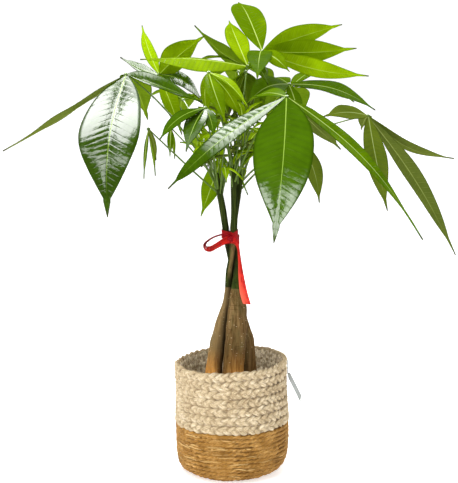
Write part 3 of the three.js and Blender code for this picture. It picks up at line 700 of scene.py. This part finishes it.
def stalk(slots, trunk, root, hub, lift, thick=1.25, knob_radius=2.1):
    """The leaf's round stalk, thicker at its foot, and the small knob where the leaflets meet."""
    route = TRUNKS[trunk][2]
    axis = trunk_centre(route, root)
    hub = np.array(hub, float)
    bend = axis + (hub - axis) * 0.4 + np.array([0, 0, lift])
    out = hub - axis
    out[2] = 0
    start = axis + unit(out) * (smooth(route, root, 3) - 0.6)
    pick()
    bpy.ops.curve.primitive_bezier_curve_add()
    stem = bpy.context.object
    first, last = stem.data.splines[0].bezier_points
    for point, spot, radius in ((first, start, 1.0), (last, hub, 0.62)):
        point.handle_left_type = point.handle_right_type = "FREE"
        point.co = point.handle_left = point.handle_right = Vector(spot * MM)
        point.radius = radius
    first.handle_right = Vector((start + (bend - start) * 2 / 3) * MM)
    last.handle_left = Vector((hub + (bend - hub) * 2 / 3) * MM)
    stem.data.dimensions = "3D"
    stem.data.resolution_u = 30
    stem.data.bevel_depth = thick * MM
    stem.data.bevel_resolution = 3
    stem.data.use_fill_caps = True
    pick(stem)
    bpy.ops.object.convert(target="MESH")
    stem = bpy.context.object
    set_in_place(stem)
    pick()
    bpy.ops.mesh.primitive_uv_sphere_add(segments=14, ring_count=10, radius=knob_radius * MM,
                                         location=hub * MM)
    knob = bpy.context.object
    knob.scale = (1.1, 1.1, 0.85)
    set_in_place(knob)
    whole = join("stalk", [stem, knob])
    for mark in ("rib", "vein", "tone", "stretch", "edge", "polish"):
        note(whole, mark, np.zeros(len(whole.data.vertices)))
    dress(whole, *slots, slot=STALK)
    return whole


def palm(slots, trunk, root, hub, lift, leaflets, polish, seed):
    """The blades and the stalk of one leaf, still apart."""
    blades = [leaflet(slots, hub, shine, seed + k, *row)
              for k, (row, shine) in enumerate(zip(leaflets, polish))]
    return [*blades, stalk(slots, trunk, root, hub, lift)]


def finish_leaf(name, pieces, *nodes):
    leaf = join(name, pieces)
    leaf.vertex_groups.clear()
    settle(leaf, 60, "leaf", *nodes)


def leaf_finishes():
    """The slots of every leaf, in the order that DEEP, MID, FRESH, OLIVE and STALK count them."""
    return [leaf_finish(name, *looks) for name, looks in LEAF_SIDES.items()] + [stalk_finish()]


def grow_leaves(slots):
    for number, (name, *leaf) in enumerate(LEAVES):
        pieces = palm(slots, *leaf, POLISH.get(name, [DULL] * len(leaf[-1])), number * 10)
        finish_leaf(name + "_grown", pieces, name)


def grow_shoots(slots):
    """Young shoots among the stalks in the middle of the crown, each with two or three narrow leaflets."""
    draw = random.Random(21)
    shoots = []
    for k in range(SHOOTS):
        trunk = k % 3
        route = TRUNKS[trunk][2]
        root = route[-1][0] - 6 - 22 * draw.random()
        a = TAU * (k * 0.382 + 0.1 * draw.random())
        reach = 8 + 22 * draw.random()
        rise = 20 + 62 * draw.random()
        hub = trunk_centre(route, root) + np.array([math.cos(a) * reach, math.sin(a) * reach, rise])
        kind = OLIVE if trunk == 1 else FRESH
        for j in range(2 + k % 2):
            b = a + (j - 0.5) * 1.3 + 0.5 * draw.random()
            size = 22 + 20 * draw.random()
            tip = hub + unit(np.array([math.cos(b), math.sin(b), 0.9 - 1.7 * draw.random()])) * size
            width, roll, tone = 6 + 5 * draw.random(), 60 * draw.random() - 30, 0.4 * draw.random()
            shoots.append(leaflet(slots, hub, DULL, 500 + k * 5 + j, *tip, width, 3, kind, tone, roll, 0, 26))
        shoots.append(stalk(slots, trunk, root, hub, 6, 0.9, 1.2))
    shoots += palm(slots, *INNER_LEAF, [DULL] * len(INNER_LEAF[-1]), 700)
    finish_leaf("young_shoots", shoots)


# ---------------------------------------------------------------- trunks
GREEN_FROM = 226.5
# For each trunk: how rusty its foot is, towards which angle, and how much paler the trunk's bark is.
BARK_LOOKS = [(1.2, -2.4, 0.42), (1.0, -0.6, 0.0), (0.1, 0.5, 0.05)]
# The bare wood: on which trunk, from which height to which, and towards which angle.
BARE_TRUNK, BARE_FROM, BARE_TO, BARE_TURN = 0, 236, 286, -1.25
# How far from a neighbouring trunk the bark gets painted shade.
CREVICE_SHADE_REACH = 9


def bark_finish():
    finish = Finish("bark_brown_to_green")
    place = finish.place
    height = place.axis(2)
    long_grain = grain(place, (420, 420, 38), 5, 0.66, 0.5)
    ridges = grain(place, (190, 190, 16), 3, 0.6, 0.6)
    patches = grain(place, (60, 60, 26))
    scars = grain(place, (70, 70, 620), 2, 0.6)
    fine = grain(place, 1500, 3, 0.7)
    pores = 1 - between(spots(stretch(place, (150, 150, 330)), 1), 0.08, 0.17)

    streaks = between(long_grain, 0.30, 0.66)
    brown = blend(streaks, (0.042, 0.022, 0.007), (0.155, 0.090, 0.032))
    brown = blend(between(ridges, 0.50, 0.72), brown, (0.225, 0.142, 0.058))
    brown = blend(between(patches, 0.46, 0.70) * 0.7, brown, (0.110, 0.090, 0.032))
    brown = blend(between(scars, 0.60, 0.70) * 0.5, brown, (0.040, 0.024, 0.008))
    brown = blend(finish.own("paler_bark"), brown, (0.300, 0.205, 0.090))
    rust = blend(streaks, (0.400, 0.145, 0.025), (0.850, 0.420, 0.105))
    low = 1 - between(height, 0.108, 0.158)
    brown = blend((low * finish.own("stain")).clamped(), brown, rust)
    brown = blend(pores * 0.65, brown, (0.560, 0.440, 0.260))

    streaks = between(long_grain, 0.3, 0.7)
    green = blend(streaks, (0.008, 0.016, 0.002), (0.040, 0.056, 0.008))
    wood = blend(streaks, (0.060, 0.045, 0.014), (0.215, 0.165, 0.062))
    green = blend(finish.own("core"), green, wood)
    ragged = height + (long_grain - 0.5) * 0.003
    top = between(ragged, (GREEN_FROM - 0.8) * MM, (GREEN_FROM + 0.8) * MM)
    colour = greyed(blend(top, brown, green), 0.72 + fine * 0.5, 0.5)
    # Painted shade: the bark is darkened where it lies close to another trunk.
    colour = blend(finish.own("crevice_shade") * 0.86, colour, (0.012, 0.008, 0.004))
    finish.fill({"Base Color": colour, "Roughness": 0.78 - top * 0.22, "Specular IOR Level": 0.05})
    finish.relief(ridges, 0.0022, 0.8)
    finish.relief(long_grain, 0.0012, 0.8)
    finish.relief(fine, 0.0004, 0.5)
    finish.relief(pores, 0.0005, 0.5)
    return finish


def crevice_shade(body, number):
    """How much painted shade the bark gets: 1 where the trunk lies against another one, 0 where it is free.
    """
    places = [vertex.co / MM for vertex in body.data.vertices]
    values = np.zeros(len(places))
    for other, (_, _, route) in enumerate(TRUNKS):
        if other == number:
            continue
        for i, p in enumerate(places):
            z = min(max(p.z, route[0][0]), route[-1][0])
            gap = math.hypot(p.x - smooth(route, z, 1), p.y - smooth(route, z, 2)) - smooth(route, z, 3)
            values[i] = max(values[i], (1 - min(max((gap - 0.4) / CREVICE_SHADE_REACH, 0), 1)) ** 1.8)
    return values


def grow_trunk(number, finish):
    name, phase, route = TRUNKS[number]
    rust, rust_turn, paler_bark = BARK_LOOKS[number]
    foot, straight, top = route[0][0], route[1][0], route[-1][0]
    heights = np.concatenate([[foot, 80], np.linspace(straight - 4, top, 150)])

    def place(u, v):
        row = np.rint(v * (len(heights) - 1)).astype(int)
        z = heights[row]
        centre = np.array([(smooth(route, t, 1), smooth(route, t, 2), 0) for t in heights])[row]
        radius = np.array([smooth(route, t, 3) for t in heights])[row]
        a = u * TAU
        flute = 1 - TRUNK_FLUTE * (1 + np.sin(3 * a + phase + z / 60))
        knots = clouds(np.cos(a) * 1.6, np.sin(a) * 1.6, z / 17 + number * 9)
        fibres = clouds(np.cos(a) * 7, np.sin(a) * 7, z / 45 + number * 5)
        rings = 0.012 * np.sin(z / 3.1 + 1.5 * hum(z / 30, number)) * (z < GREEN_FROM)
        r = radius * (flute + 0.05 * knots + 0.018 * fibres + rings)
        r = r * np.where(z > top - 3, np.sqrt(np.clip(1 - ((z - top + 3) / 3.6) ** 2, 0, 1)), 1)
        bare = np.clip((np.cos(a - BARE_TURN) - 0.66) * 6, 0, 1) * (number == BARE_TRUNK)
        bare = bare * np.clip((BARE_TO - z) / 8, 0, 1) * np.clip((z - BARE_FROM) / 10, 0, 1)
        return around(r, a, z) + centre, {
            "stain": rust * np.clip(0.45 + 0.7 * np.cos(a - rust_turn), 0, 1),
            "paler_bark": np.full(len(z), paler_bark), "core": bare}

    body = sheet_of(name + "_grown", 40, len(heights) - 1, place)
    note(body, "crevice_shade", crevice_shade(body, number))
    close_up(body, caps=True)
    dress(body, finish)
    settle(body, 60, "bark", name)


def grow_trunks():
    finish = bark_finish()
    for number in range(len(TRUNKS)):
        grow_trunk(number, finish)


# ---------------------------------------------------------------- basket
BASKET_HEIGHT, BASKET_SPLIT, BASKET_WALL = 137, 62, 5.5
# Height and outer radius.
PROFILE = [[0, 44], [3, 51.5], [6, 58], [10, 62.5], [16, 65.3], [26, 67], [62, 67.8], [100, 65.8],
           [137, 66.4]]
GIRTH_RADIUS = 68
CREAM_ROWS, BROWN_ROWS = 7, 12
CREAM_STITCHES, BROWN_STITCHES = 15, 26
CREAM_SWING, CREAM_WEAVE = 3.35, 1.5
CREAM_WIDE, CREAM_DEEP = 2.75, 1.9
BROWN_WIDE, BROWN_DEEP = 2.1, 1.55
STRAND_STEPS = 560
STRAWS = 150
RIM_TILT = 3.2
# Dark, middle and light colour, roughness, how drawn out and how coarse the threads are, and their depth.
CREAM_FIBRE = ((0.230, 0.150, 0.070), (0.660, 0.530, 0.340), (0.980, 0.900, 0.720), 0.82, 0.16, 1.8, 0.0013)
GOLDEN_FIBRE = ((0.095, 0.038, 0.006), (0.400, 0.200, 0.042), (0.840, 0.560, 0.220), 0.80, 0.10, 2.4, 0.0012)
# Height, and how far the basket leans along X there.
LEAN = [[0, 0.8], [10, 2.6], [25, 4], [62, 4], [100, 3.3], [137, 2.4]]


def basket_radius(z):
    return smooth(PROFILE, z, 1)


def basket_radii(z):
    return np.array([basket_radius(t) for t in z])


def settle_weave(a, z):
    """How the hand-made basket departs from a true round: a tilted rim, soft dents and a lean."""
    up = np.clip(z / BASKET_HEIGHT, 0, 1)
    rise = up ** 2 * RIM_TILT * np.cos(a - 0.35) + 0.5 * up * np.sin(5 * a + z / 15)
    dent = 0.8 * np.sin(2 * a + 0.6) + 0.5 * np.sin(3 * a + 2.0 + z / 40)
    return rise, up * dent, np.array([smooth(LEAN, t, 1) for t in z])


def strand_points(u, a, z, r0, slope, wide, deep, aside):
    """The skin of a strand whose middle is at angle a, height z and radius r0, and climbs by slope."""
    tilt = np.arctan2(slope, r0)
    sideways = wide * np.cos(TAU * u)
    return around(r0 + deep * np.sin(TAU * u), a - sideways * np.sin(tilt) / r0,
                  np.maximum(z + sideways * np.cos(tilt), 0.05), aside)


def thread_marks(u, v, turn, lot):
    """What the threads of a strand follow: the way along it and round it, and the lot it comes from."""
    return {"along": v * turn * GIRTH_RADIUS, "turn_x": np.cos(TAU * u), "turn_y": np.sin(TAU * u),
            "lot": np.full(len(u), lot)}


def cream_strand(row, k):
    """One of the three strands of a cream plait. It swings up and down, and in and out twice as often."""
    z0 = BASKET_SPLIT + (BASKET_HEIGHT - BASKET_SPLIT) / CREAM_ROWS * (row + 0.5)
    seed = row * 3 + k + 1
    kin = seed // 3 * 3  # strands with the same number here wander alike

    def place(u, v):
        a = v * TAU + TAU / 4
        closing = np.sin(math.pi * v)
        swing = CREAM_STITCHES * a + TAU * k / 3 + row * 1.1 + 0.7 * hum(v * 11, kin + 0.2) * closing
        drift = 0.9 * hum(v * 7, kin + 0.7) * closing
        z = z0 + drift + CREAM_SWING * np.sin(swing) + 0.55 * hum(v * 40, seed) * closing
        rise, dent, aside = settle_weave(a, z)
        r0 = basket_radii(np.clip(z, 0, BASKET_HEIGHT)) - 0.9 + CREAM_WEAVE * np.sin(2 * swing) + dent
        slope = CREAM_SWING * CREAM_STITCHES * np.cos(swing)
        swell = (1 + 0.18 * hum(v * 60, seed + 0.5) * closing) * (1 + 0.10 * np.cos(5 * TAU * u + 9 * a))
        under = np.clip(0.5 - 0.5 * np.sin(2 * swing), 0, 1) ** 2
        side = np.abs(np.cos(TAU * u)) ** 3
        marks = thread_marks(u, v, TAU, seed * 0.377 % 1)
        # Painted shade where the strand dips under its neighbours and along its sides, in the recesses of the
        # plait.
        marks["tuck"] = np.clip(0.62 * under + 0.45 * side, 0, 1)
        return strand_points(u, a, z + rise, r0, slope, CREAM_WIDE * swell, CREAM_DEEP * swell, aside), marks

    return rolled("plait", 8, STRAND_STEPS, place)


def golden_ply(row, k):
    """One of the two plies of a golden cord, wound round the cord's own line."""
    z0 = 0.6 + (BASKET_SPLIT - 1.0) / BROWN_ROWS * (row + 0.5)
    seed = 60 + row * 2 + k

    def place(u, v):
        a = v * TAU + TAU / 4
        closing = np.sin(math.pi * v)
        swing = BROWN_STITCHES * a + math.pi * k + row * 0.8 + 1.4 * hum(v * 13, seed - k) * closing
        wobble = 0.60 * hum(v * 30, seed) * closing
        rise, dent, aside = settle_weave(a, np.full(len(a), z0))
        r0 = basket_radii(np.clip(z0 + wobble, 0, BASKET_HEIGHT)) - 0.6 + 0.8 * np.cos(swing) + dent
        swell = (1 + 0.18 * hum(v * 120, seed + 0.4) * closing) * (1 + 0.14 * np.cos(4 * TAU * u + 7 * a))
        z = z0 + np.sin(swing) + wobble + rise
        points = strand_points(u, a, z, r0, BROWN_STITCHES * np.cos(swing), BROWN_WIDE * swell,
                               BROWN_DEEP * swell, aside)
        return points, thread_marks(u, v, TAU, seed * 0.377 % 1)

    return rolled("cord", 6, STRAND_STEPS, place)


def straw(draw):
    """One loose straw that lies along the golden cords, a little askew."""
    start, length = draw.random() * TAU, 0.18 + 0.35 * draw.random()
    low, rise = 5 + 52 * draw.random(), 3.2 * (draw.random() - 0.5)
    thick, arch, lot = 0.30 + 0.28 * draw.random(), 0.7 * draw.random(), draw.random()

    def place(u, v):
        a = start + length * v
        z = low + rise * v + 0.5 * np.sin(math.pi * v * 2 + lot * 6)
        middle = np.sin(math.pi * v)
        taper = thick * (0.35 + 0.65 * middle)
        _, dent, aside = settle_weave(a, z)
        r0 = basket_radii(z) + 1.15 + arch * middle - 0.5 * (1 - middle) + dent
        points = strand_points(u, a, z, r0, 0, 1.4 * taper, taper, aside)
        return points, thread_marks(u, v, length, 1.4 + 0.6 * lot)

    return rolled("straw", 4, 14, place, caps=True)


def turned_wall(name, outline):
    """A closed wall round the Z axis, from an outline of (radius, height) that ends where it starts."""
    points = np.array(outline + outline[:1])

    def place(u, v):
        r, z = points[np.rint(v * (len(points) - 1)).astype(int)].T
        rise, dent, aside = settle_weave(u * TAU, z)
        return around(r + dent, u * TAU, z + rise * (z > 20), aside), {}

    return rolled(name, 120, len(points) - 1, place)


def fibre_finish(name, dark, middle, light, rough, stretch_by, coarse, depth):
    """Plaited plant fibre: fine threads along each strand, and strands that differ a little."""
    finish = Finish(name)
    along, turn_x, turn_y, lot, tuck = finish.own("along", "turn_x", "turn_y", "lot", "tuck")
    thread_place = vector(along * stretch_by + lot * 37, turn_x * coarse, turn_y * coarse)
    threads = grain(thread_place, 1.6, 4, 0.65, 0.3)
    specks = grain(finish.place, 420, 2)
    share = threads * 0.75 + grain(finish.place, 70) * 0.35
    colour = blend(between(share, 0.30, 0.62), dark, middle)
    colour = blend(between(share, 0.55, 0.80), colour, light)
    colour = blend(between(specks, 0.60, 0.72) * 0.35, colour, dark)
    colour = blend(between(lot, 1.5, 1.9) * 0.85, colour, light)
    # Painted shade in the recesses of the plaits, where the strands dip under and meet.
    colour = blend(tuck * 0.75, colour, dark)
    finish.fill({"Base Color": colour, "Roughness": rough, "Specular IOR Level": 0.10, "Sheen Weight": 0.05})
    finish.relief(threads, depth, 0.9)
    finish.relief(specks, 0.0004, 0.35)
    return finish


def wall_finish(name, dark, light):
    """The inner side of the weave: dull rows of small stitches."""
    finish = Finish(name)
    place = finish.place
    turn = calc("ARCTAN2", place.axis(1), place.axis(0))
    stitches = spots(vector(turn * 20, place.axis(2) * 230), 1, 0.8)
    share = 0.5 + grain(place, (300, 300, 420), 4, 0.7, 0.8) * 0.7 - stitches
    colour = blend(between(share, 0.05, 0.55), dark, light)
    colour = blend(grain(place, 45, 2) * 0.25, colour, dark)
    finish.fill({"Base Color": colour, "Roughness": 0.9})
    finish.relief(share, 0.0014, 0.9)
    return finish


def base_finish():
    finish = Finish("golden_base")
    weave = grain(finish.place, (260, 260, 500), 4, 0.7, 0.6)
    colour = blend(between(weave, 0.34, 0.66), (0.150, 0.068, 0.016), (0.480, 0.260, 0.075))
    finish.fill({"Base Color": colour, "Roughness": 0.88})
    finish.relief(weave, 0.0012, 0.9)
    return finish


def weave_upper():
    """The cream plaits, and the lining that they are sewn to, with its dull filler between the plaits."""
    strands = [cream_strand(row, k) for row in range(CREAM_ROWS) for k in range(3)]
    plaits = join("basket_upper_plaits", strands)
    dress(plaits, fibre_finish("pale_plait", *CREAM_FIBRE))
    settle(plaits, 70, "pale_weave", "basket_upper")

    low, high = BASKET_SPLIT + 0.3, BASKET_HEIGHT - 1.5
    outer = [[basket_radius(z) - 1.2, z] for z in np.linspace(low, high - 1.5, 12)]
    inner = [[basket_radius(z) - 3.4 - 0.8 * math.sin(math.pi * (i % 8) / 8), z]
             for i, z in enumerate(np.linspace(high - 0.5, low, 57))]
    lining = turned_wall("basket_upper_lining", outer + inner)
    dress(lining, wall_finish("inner_weave", (0.480, 0.365, 0.225), (1.0, 0.890, 0.660)),
          wall_finish("pale_filler", (0.400, 0.290, 0.170), (0.780, 0.660, 0.480)))
    for face in lining.data.polygons:
        middle = face.center / MM
        face.material_index = int(math.hypot(middle.x - 3, middle.y) > basket_radius(middle.z) - 2.4)
    settle(lining, 60, "pale_weave", "basket_upper")


def weave_lower():
    """The golden cords with their loose straws, and the shell under them with its coiled foot."""
    plies = [golden_ply(row, k) for row in range(BROWN_ROWS) for k in range(2)]
    draw = random.Random(5)
    rope = join("basket_lower_cords", plies + [straw(draw) for _ in range(STRAWS)])
    dress(rope, fibre_finish("golden_cord", *GOLDEN_FIBRE))
    settle(rope, 70, "golden_weave", "basket_lower")

    outer = [[basket_radius(z) - 1.0, z] for z in (2.0 + (BASKET_SPLIT - 2.6) * i / 23 for i in range(24))]
    inner = [[basket_radius(z) - BASKET_WALL, z] for z in np.linspace(BASKET_SPLIT - 0.6, 12, 14)]
    floor = [[56, 9.4], [50, 6.8], [0.02, 6.8], [0.02, 0.9]]
    coils = [[2.0 * (i + 0.5), 0.9 - 0.55 * (i % 2)] for i in range(20)]
    shell = turned_wall("basket_lower_shell", [[42.0, 0.9]] + outer + inner + floor + coils)
    dress(shell, base_finish())
    settle(shell, 60, "golden_weave", "basket_lower")


# ---------------------------------------------------------------- pot and soil
# Radius and height.
POT_PROFILE = [(0, 7.6), (42, 7.6), (42.8, 8.4), (53.8, 93.6), (55.6, 94.2), (56, 95), (56, 100.4),
               (55.4, 101), (53.4, 101), (52.8, 100.4), (52.6, 95), (41.2, 9), (0, 8.8)]
SOIL_LEVEL, SOIL_EDGE, SOIL_DEPTH = 95.0, 51.7, 30
# How high the bumps are, how wide, and where in the noise.
SOIL_BUMPS = [(1.6, 11, 3), (0.9, 4, 8), (0.4, 1.6, 1)]
CRUMBS = 110


def pot_finish():
    finish = Finish("dark_pot_plastic")
    scuffs = grain(finish.place, (40, 40, 200), 4)
    colour = blend(scuffs, (0.012, 0.012, 0.014), (0.035, 0.034, 0.034))
    finish.fill({"Base Color": colour, "Roughness": 0.38 + scuffs * 0.3})
    finish.relief(grain(finish.place, 1200, 2), 0.0002, 0.4)
    return finish


def mould_pot():
    """The nursery pot, its profile spun round the middle."""
    mesh = bpy.data.meshes.new("nursery_pot_moulded")
    mesh.from_pydata([(r * MM, 0, z * MM) for r, z in POT_PROFILE],
                     [(i, i + 1) for i in range(len(POT_PROFILE) - 1)], [])
    pot = bpy.data.objects.new("nursery_pot_moulded", mesh)
    bpy.context.collection.objects.link(pot)
    with edited(pot):
        bpy.ops.mesh.spin(steps=96, angle=TAU, center=(0, 0, 0), axis=(0, 0, 1))
    close_up(pot, weld=1e-5)
    dress(pot, pot_finish())
    settle(pot, 35, "pot_plastic", "nursery_pot")


def soil_finish():
    finish = Finish("dark_soil")
    clods = grain(finish.place, 260, 5, 0.7)
    colour = blend(between(clods, 0.35, 0.65), (0.016, 0.010, 0.006), (0.085, 0.055, 0.032))
    chips = 1 - between(spots(finish.place, 300), 0.0, 0.12)
    colour = blend(chips * 0.7, colour, (0.30, 0.22, 0.14))
    finish.fill({"Base Color": colour, "Roughness": 0.95})
    finish.relief(clods, 0.002, 0.9)
    finish.relief(grain(finish.place, 1600, 3, 0.7), 0.0008, 0.7)
    return finish


def fill_soil():
    """A crumbly disc of soil over its plain body, with loose crumbs on top."""
    def place(u, v):
        x, y, z = around(SOIL_EDGE * np.sqrt(np.clip(v, 0, 1)), u * TAU, np.full(len(u), SOIL_LEVEL)).T
        bumps = sum(high * clouds(x / wide, y / wide, seed) for high, wide, seed in SOIL_BUMPS)
        return np.stack([x, y, z + bumps * np.clip((1 - v) * 12, 0, 1)], axis=1), {}

    top = sheet_of("soil_top", 120, 46, place)
    with edited(top):
        bpy.ops.mesh.remove_doubles(threshold=2e-5)
        bpy.ops.mesh.select_all(action="DESELECT")
        bpy.ops.mesh.select_non_manifold()
        bpy.ops.mesh.extrude_region_move(TRANSFORM_OT_translate={"value": (0, 0, -SOIL_DEPTH * MM)})
        bpy.ops.mesh.edge_face_add()
        bpy.ops.mesh.select_all(action="SELECT")
        bpy.ops.mesh.normals_make_consistent(inside=False)
    draw = random.Random(11)
    crumbs = [top]
    for _ in range(CRUMBS):
        a, r = draw.random() * TAU, 49 * math.sqrt(draw.random())
        size = 0.7 + 1.3 * draw.random() ** 2
        spot = Vector((r * math.cos(a), r * math.sin(a), SOIL_LEVEL + 0.9 + size * 0.3)) * MM
        pick()
        bpy.ops.mesh.primitive_ico_sphere_add(subdivisions=1, radius=size * MM, location=spot,
                                              rotation=(draw.random() * 3, draw.random() * 3, 0))
        crumb = bpy.context.object
        crumb.scale = (1 + 0.5 * draw.random(), 1, 0.7)
        set_in_place(crumb)
        crumbs.append(crumb)
    soil = join("soil_bed", crumbs)
    dress(soil, soil_finish())
    settle(soil, 40, "soil", "soil")


# ---------------------------------------------------------------- ribbon
RIBBON_WIDTH = 10.0
RIBBON_WALL = 0.35
KNOT_WIDTH, KNOT_SHARE = 6.5, 0.65
# Where the middle of the ribbon runs, and the way across it there.
LOOP = [
    [(1, -11.5, 289), (0, 0.75, -0.66)], [(-6, -11.6, 292.8), (0, 0.94, -0.34)],
    [(-17.6, -11.2, 289.8), (0, 0.95, -0.3)], [(-26.0, -11, 284.6), (0.1, 0.95, -0.3)],
    [(-29.2, -11.4, 280.2), (0.32, 0.94, -0.1)], [(-27.4, -12.4, 276.2), (0.2, 0.88, 0.4)],
    [(-22.2, -13, 275.2), (0, 0.82, 0.57)], [(-14.2, -13.2, 279.4), (0, 0.8, 0.6)],
    [(-4.8, -12.6, 284.8), (0, 0.7, 0.7)], [(0.6, -12, 287), (0, 0.5, 0.86)],
]
TAIL = [
    [(2, -11.6, 287.5), (0.5, 0, 0.8)], [(7.8, -12.6, 284.4), (0.5, -0.6, 0.6)],
    [(11.0, -13.4, 277), (0.3, -0.95, 0.1)], [(12.8, -14, 263), (0.34, -0.94, 0)],
    [(14.2, -14.4, 248), (0.56, -0.82, 0)], [(15.8, -14.9, 234.6), (0.74, -0.64, 0.05)],
    [(18, -16.6, 221.6), (0.84, -0.45, 0.1)], [(21.7, -19, 209.2), (0.74, -0.4, 0.2)],
]
# The height, the swing and its turn, and the room left to the stems, of each turn of the band.
BANDS = [(288, 4.2, -math.pi / 2 + 1.5, 0.9), (288.4, 4.2, -math.pi / 2 - 1.5, 1.5)]
BAND_POINTS = 96


def satin_finish(name, dark, light):
    finish = Finish(name)
    across, along, worn = finish.own("across", "along", "worn")
    threads = add_node(finish.tree, "TexWave", {"Vector": vector(across, along), "Scale": 1.1,
                                                "Distortion": 0.6, "Detail": 1.0}, bands_direction="Y")
    cloud = grain(finish.place, 130, 2)
    creases = grain(vector(across * 0.5, along * 0.10), 1, 2)
    colour = blend(between(cloud * 0.5 + creases * 0.5, 0.34, 0.66), dark, light)
    colour = blend(between(abs(across), 4.2, 4.8) * 0.6, colour, dark)
    # Painted highlight and painted shade along the ribbon: paler red where the share is above 0, deeper
    # crimson where it is below.
    colour = blend(between(worn, 0.0, 1.0), colour, (0.940, 0.150, 0.085))
    colour = blend(between(worn * -1, 0.0, 1.0), colour, (0.230, 0.002, 0.006))
    finish.fill({"Base Color": colour, "Roughness": 0.28 + cloud * 0.16, "Anisotropic": 0.5,
                 "Specular IOR Level": 0.12})
    finish.relief(creases, 0.0012, 0.6)
    finish.relief(threads.outputs["Fac"], 0.00012, 0.5)
    return finish


def painted_shading_share(name, side, v):
    """How much painted highlight, above 0, or painted shade, below 0, the satin gets along each run of the
    ribbon.
    """
    if name == "loop":
        return np.interp(v, [0, 0.12, 0.42, 0.55, 0.75, 1], [-0.8, -0.9, -0.9, -0.35, 0.22, -0.5])
    if name == "tail":
        return np.interp(v, [0, 0.2, 0.42, 0.7, 0.88, 1], [-0.6, -0.1, 0.0, 0.2, 0.5, 0.4]) - 0.34 * side
    return np.full(len(v), -0.55)


def ribbon_strip(name, route, steps, wide=RIBBON_WIDTH, curl=0.35, notch=0.0):
    """One run of the ribbon, and its length."""
    middle = [p for p, _ in route]
    ways = [unit(np.array(w, float)) for _, w in route]
    length = sum(np.linalg.norm(np.subtract(q, p)) for p, q in zip(middle, middle[1:]))

    def place(u, v):
        along = heading(middle, v)
        across = curve_through(ways, v)
        across = unit(across - along * np.sum(across * along, axis=1)[:, None])
        out = np.cross(along, across)
        side = 2 * u - 1
        end = notch * np.clip((v - 0.93) / 0.07, 0, 1) * side
        points = (curve_through(middle, v) + across * (side * wide / 2)[:, None]
                  + out * (curl * (side ** 2 - 0.4))[:, None] + along * end[:, None])
        return points, {"across": side * wide / 2, "along": v * length, "worn": painted_shading_share(name, side, v)}

    return sheet_of(name, 8, steps, place), length


def outline_point(z, a, room):
    """The point farthest out at angle a of the outline round the three stems at height z."""
    way = np.array([math.cos(a), math.sin(a), 0])
    points = [trunk_centre(route, z) + way * (smooth(route, z, 3) + room) for _, _, route in TRUNKS]
    return max(points, key=lambda point: point @ way)


def ribbon_band(middle, swing, turn, room):
    """A band once round the stems, higher on one side than on the other."""
    turns = [i / BAND_POINTS * TAU for i in range(BAND_POINTS)]
    ring = np.array([outline_point(middle + swing * math.cos(a - turn), a, room) for a in turns])
    for _ in range(6):
        ring = (np.roll(ring, 1, axis=0) + 2 * ring + np.roll(ring, -1, axis=0)) / 4
    route = []
    for i in range(BAND_POINTS + 1):
        step = unit(ring[(i + 1) % BAND_POINTS] - ring[(i - 1) % BAND_POINTS])
        outward = unit(np.array([step[1], -step[0], 0.0]))
        route.append((ring[i % BAND_POINTS], np.cross(outward, step)))
    return ribbon_strip("band", route, BAND_POINTS * 2, curl=0.3)


def tie_ribbon():
    knot = [((1.5 + 0.4 * math.sin(a), -11.2 - 1.9 * math.cos(a), 287 + 3.6 * math.sin(a)), (1, 0, 0.12))
            for a in np.linspace(0, TAU, 13)]
    runs = [ribbon_strip("loop", LOOP, 90), ribbon_strip("tail", TAIL, 90, notch=1.8)]
    runs += [ribbon_band(*band) for band in BANDS]
    length = sum(size for _, size in runs)
    knot_strip, size = ribbon_strip("knot", knot, 40, KNOT_WIDTH, 0.5)
    length += size * KNOT_SHARE
    ribbon = join("ribbon_tied", [strip for strip, _ in runs] + [knot_strip])
    # One side of the ribbon takes a darker copy of the satin, as painted shade.
    dress(ribbon, satin_finish("shaded_crimson_satin", (0.130, 0.001, 0.005), (0.380, 0.004, 0.010)),
          satin_finish("red_satin", (0.280, 0.003, 0.004), (0.740, 0.026, 0.018)))
    thicken(ribbon, RIBBON_WALL, material_offset=1)
    settle(ribbon, 60, "red_satin", "ribbon")
    length * MM


# ---------------------------------------------------------------- tag
TAG_ROUTE = [(70, 3.5, 139.2), (72, 3.6, 132.5), (72.3, 4, 119), (73.8, 4.2, 114.5), (81, 4.6, 100),
             (88.2, 5, 85)]
TAG_WALL = 0.9
NECK_WIDTH, CARD_WIDTH = 1.6, 26


def card_finish():
    finish = Finish("white_card")
    pulp = grain(finish.place, 700, 4, 0.6)
    # Painted shade: the white card is coloured grey for its side away from the light, and darker still
    # towards the neck where it meets the basket.
    card = blend(pulp, (0.24, 0.26, 0.25), (0.34, 0.36, 0.34))
    worn = between(finish.place.axis(2), 0.100, 0.122) * 0.7
    finish.fill({"Base Color": blend(worn, card, (0.110, 0.105, 0.085)), "Roughness": 0.55})
    finish.relief(pulp, 0.0001, 0.4)
    return finish


def hang_tag():
    """A blank card tag on a thin paper neck over the rim, curled a little."""
    across = unit(np.array([0.1, 1, 0]))

    def place(u, v):
        out = unit(np.cross(heading(TAG_ROUTE, v), across))
        span = v * (len(TAG_ROUTE) - 1)
        wide = np.interp(span, [2, 3], [NECK_WIDTH, CARD_WIDTH])
        wide = wide * np.sqrt(np.clip(1 - np.clip((v - 0.985) / 0.03, 0, 1) ** 2, 0, 1))
        side = 2 * u - 1
        curl = 0.9 * side ** 2 * (span > 2)
        return curve_through(TAG_ROUTE, v) + across * (side * wide / 2)[:, None] + out * curl[:, None], {}

    tag = sheet_of("blank_tag_card", 14, 80, place)
    dress(tag, card_finish())
    thicken(tag, TAG_WALL)
    settle(tag, 40, "white_card", "blank_tag")


place_camera()
light_the_studio()
lay_floor()
weave_upper()
weave_lower()
mould_pot()
fill_soil()
grow_trunks()
tie_ribbon()
hang_tag()
slots = leaf_finishes()
grow_leaves(slots)
grow_shoots(slots)
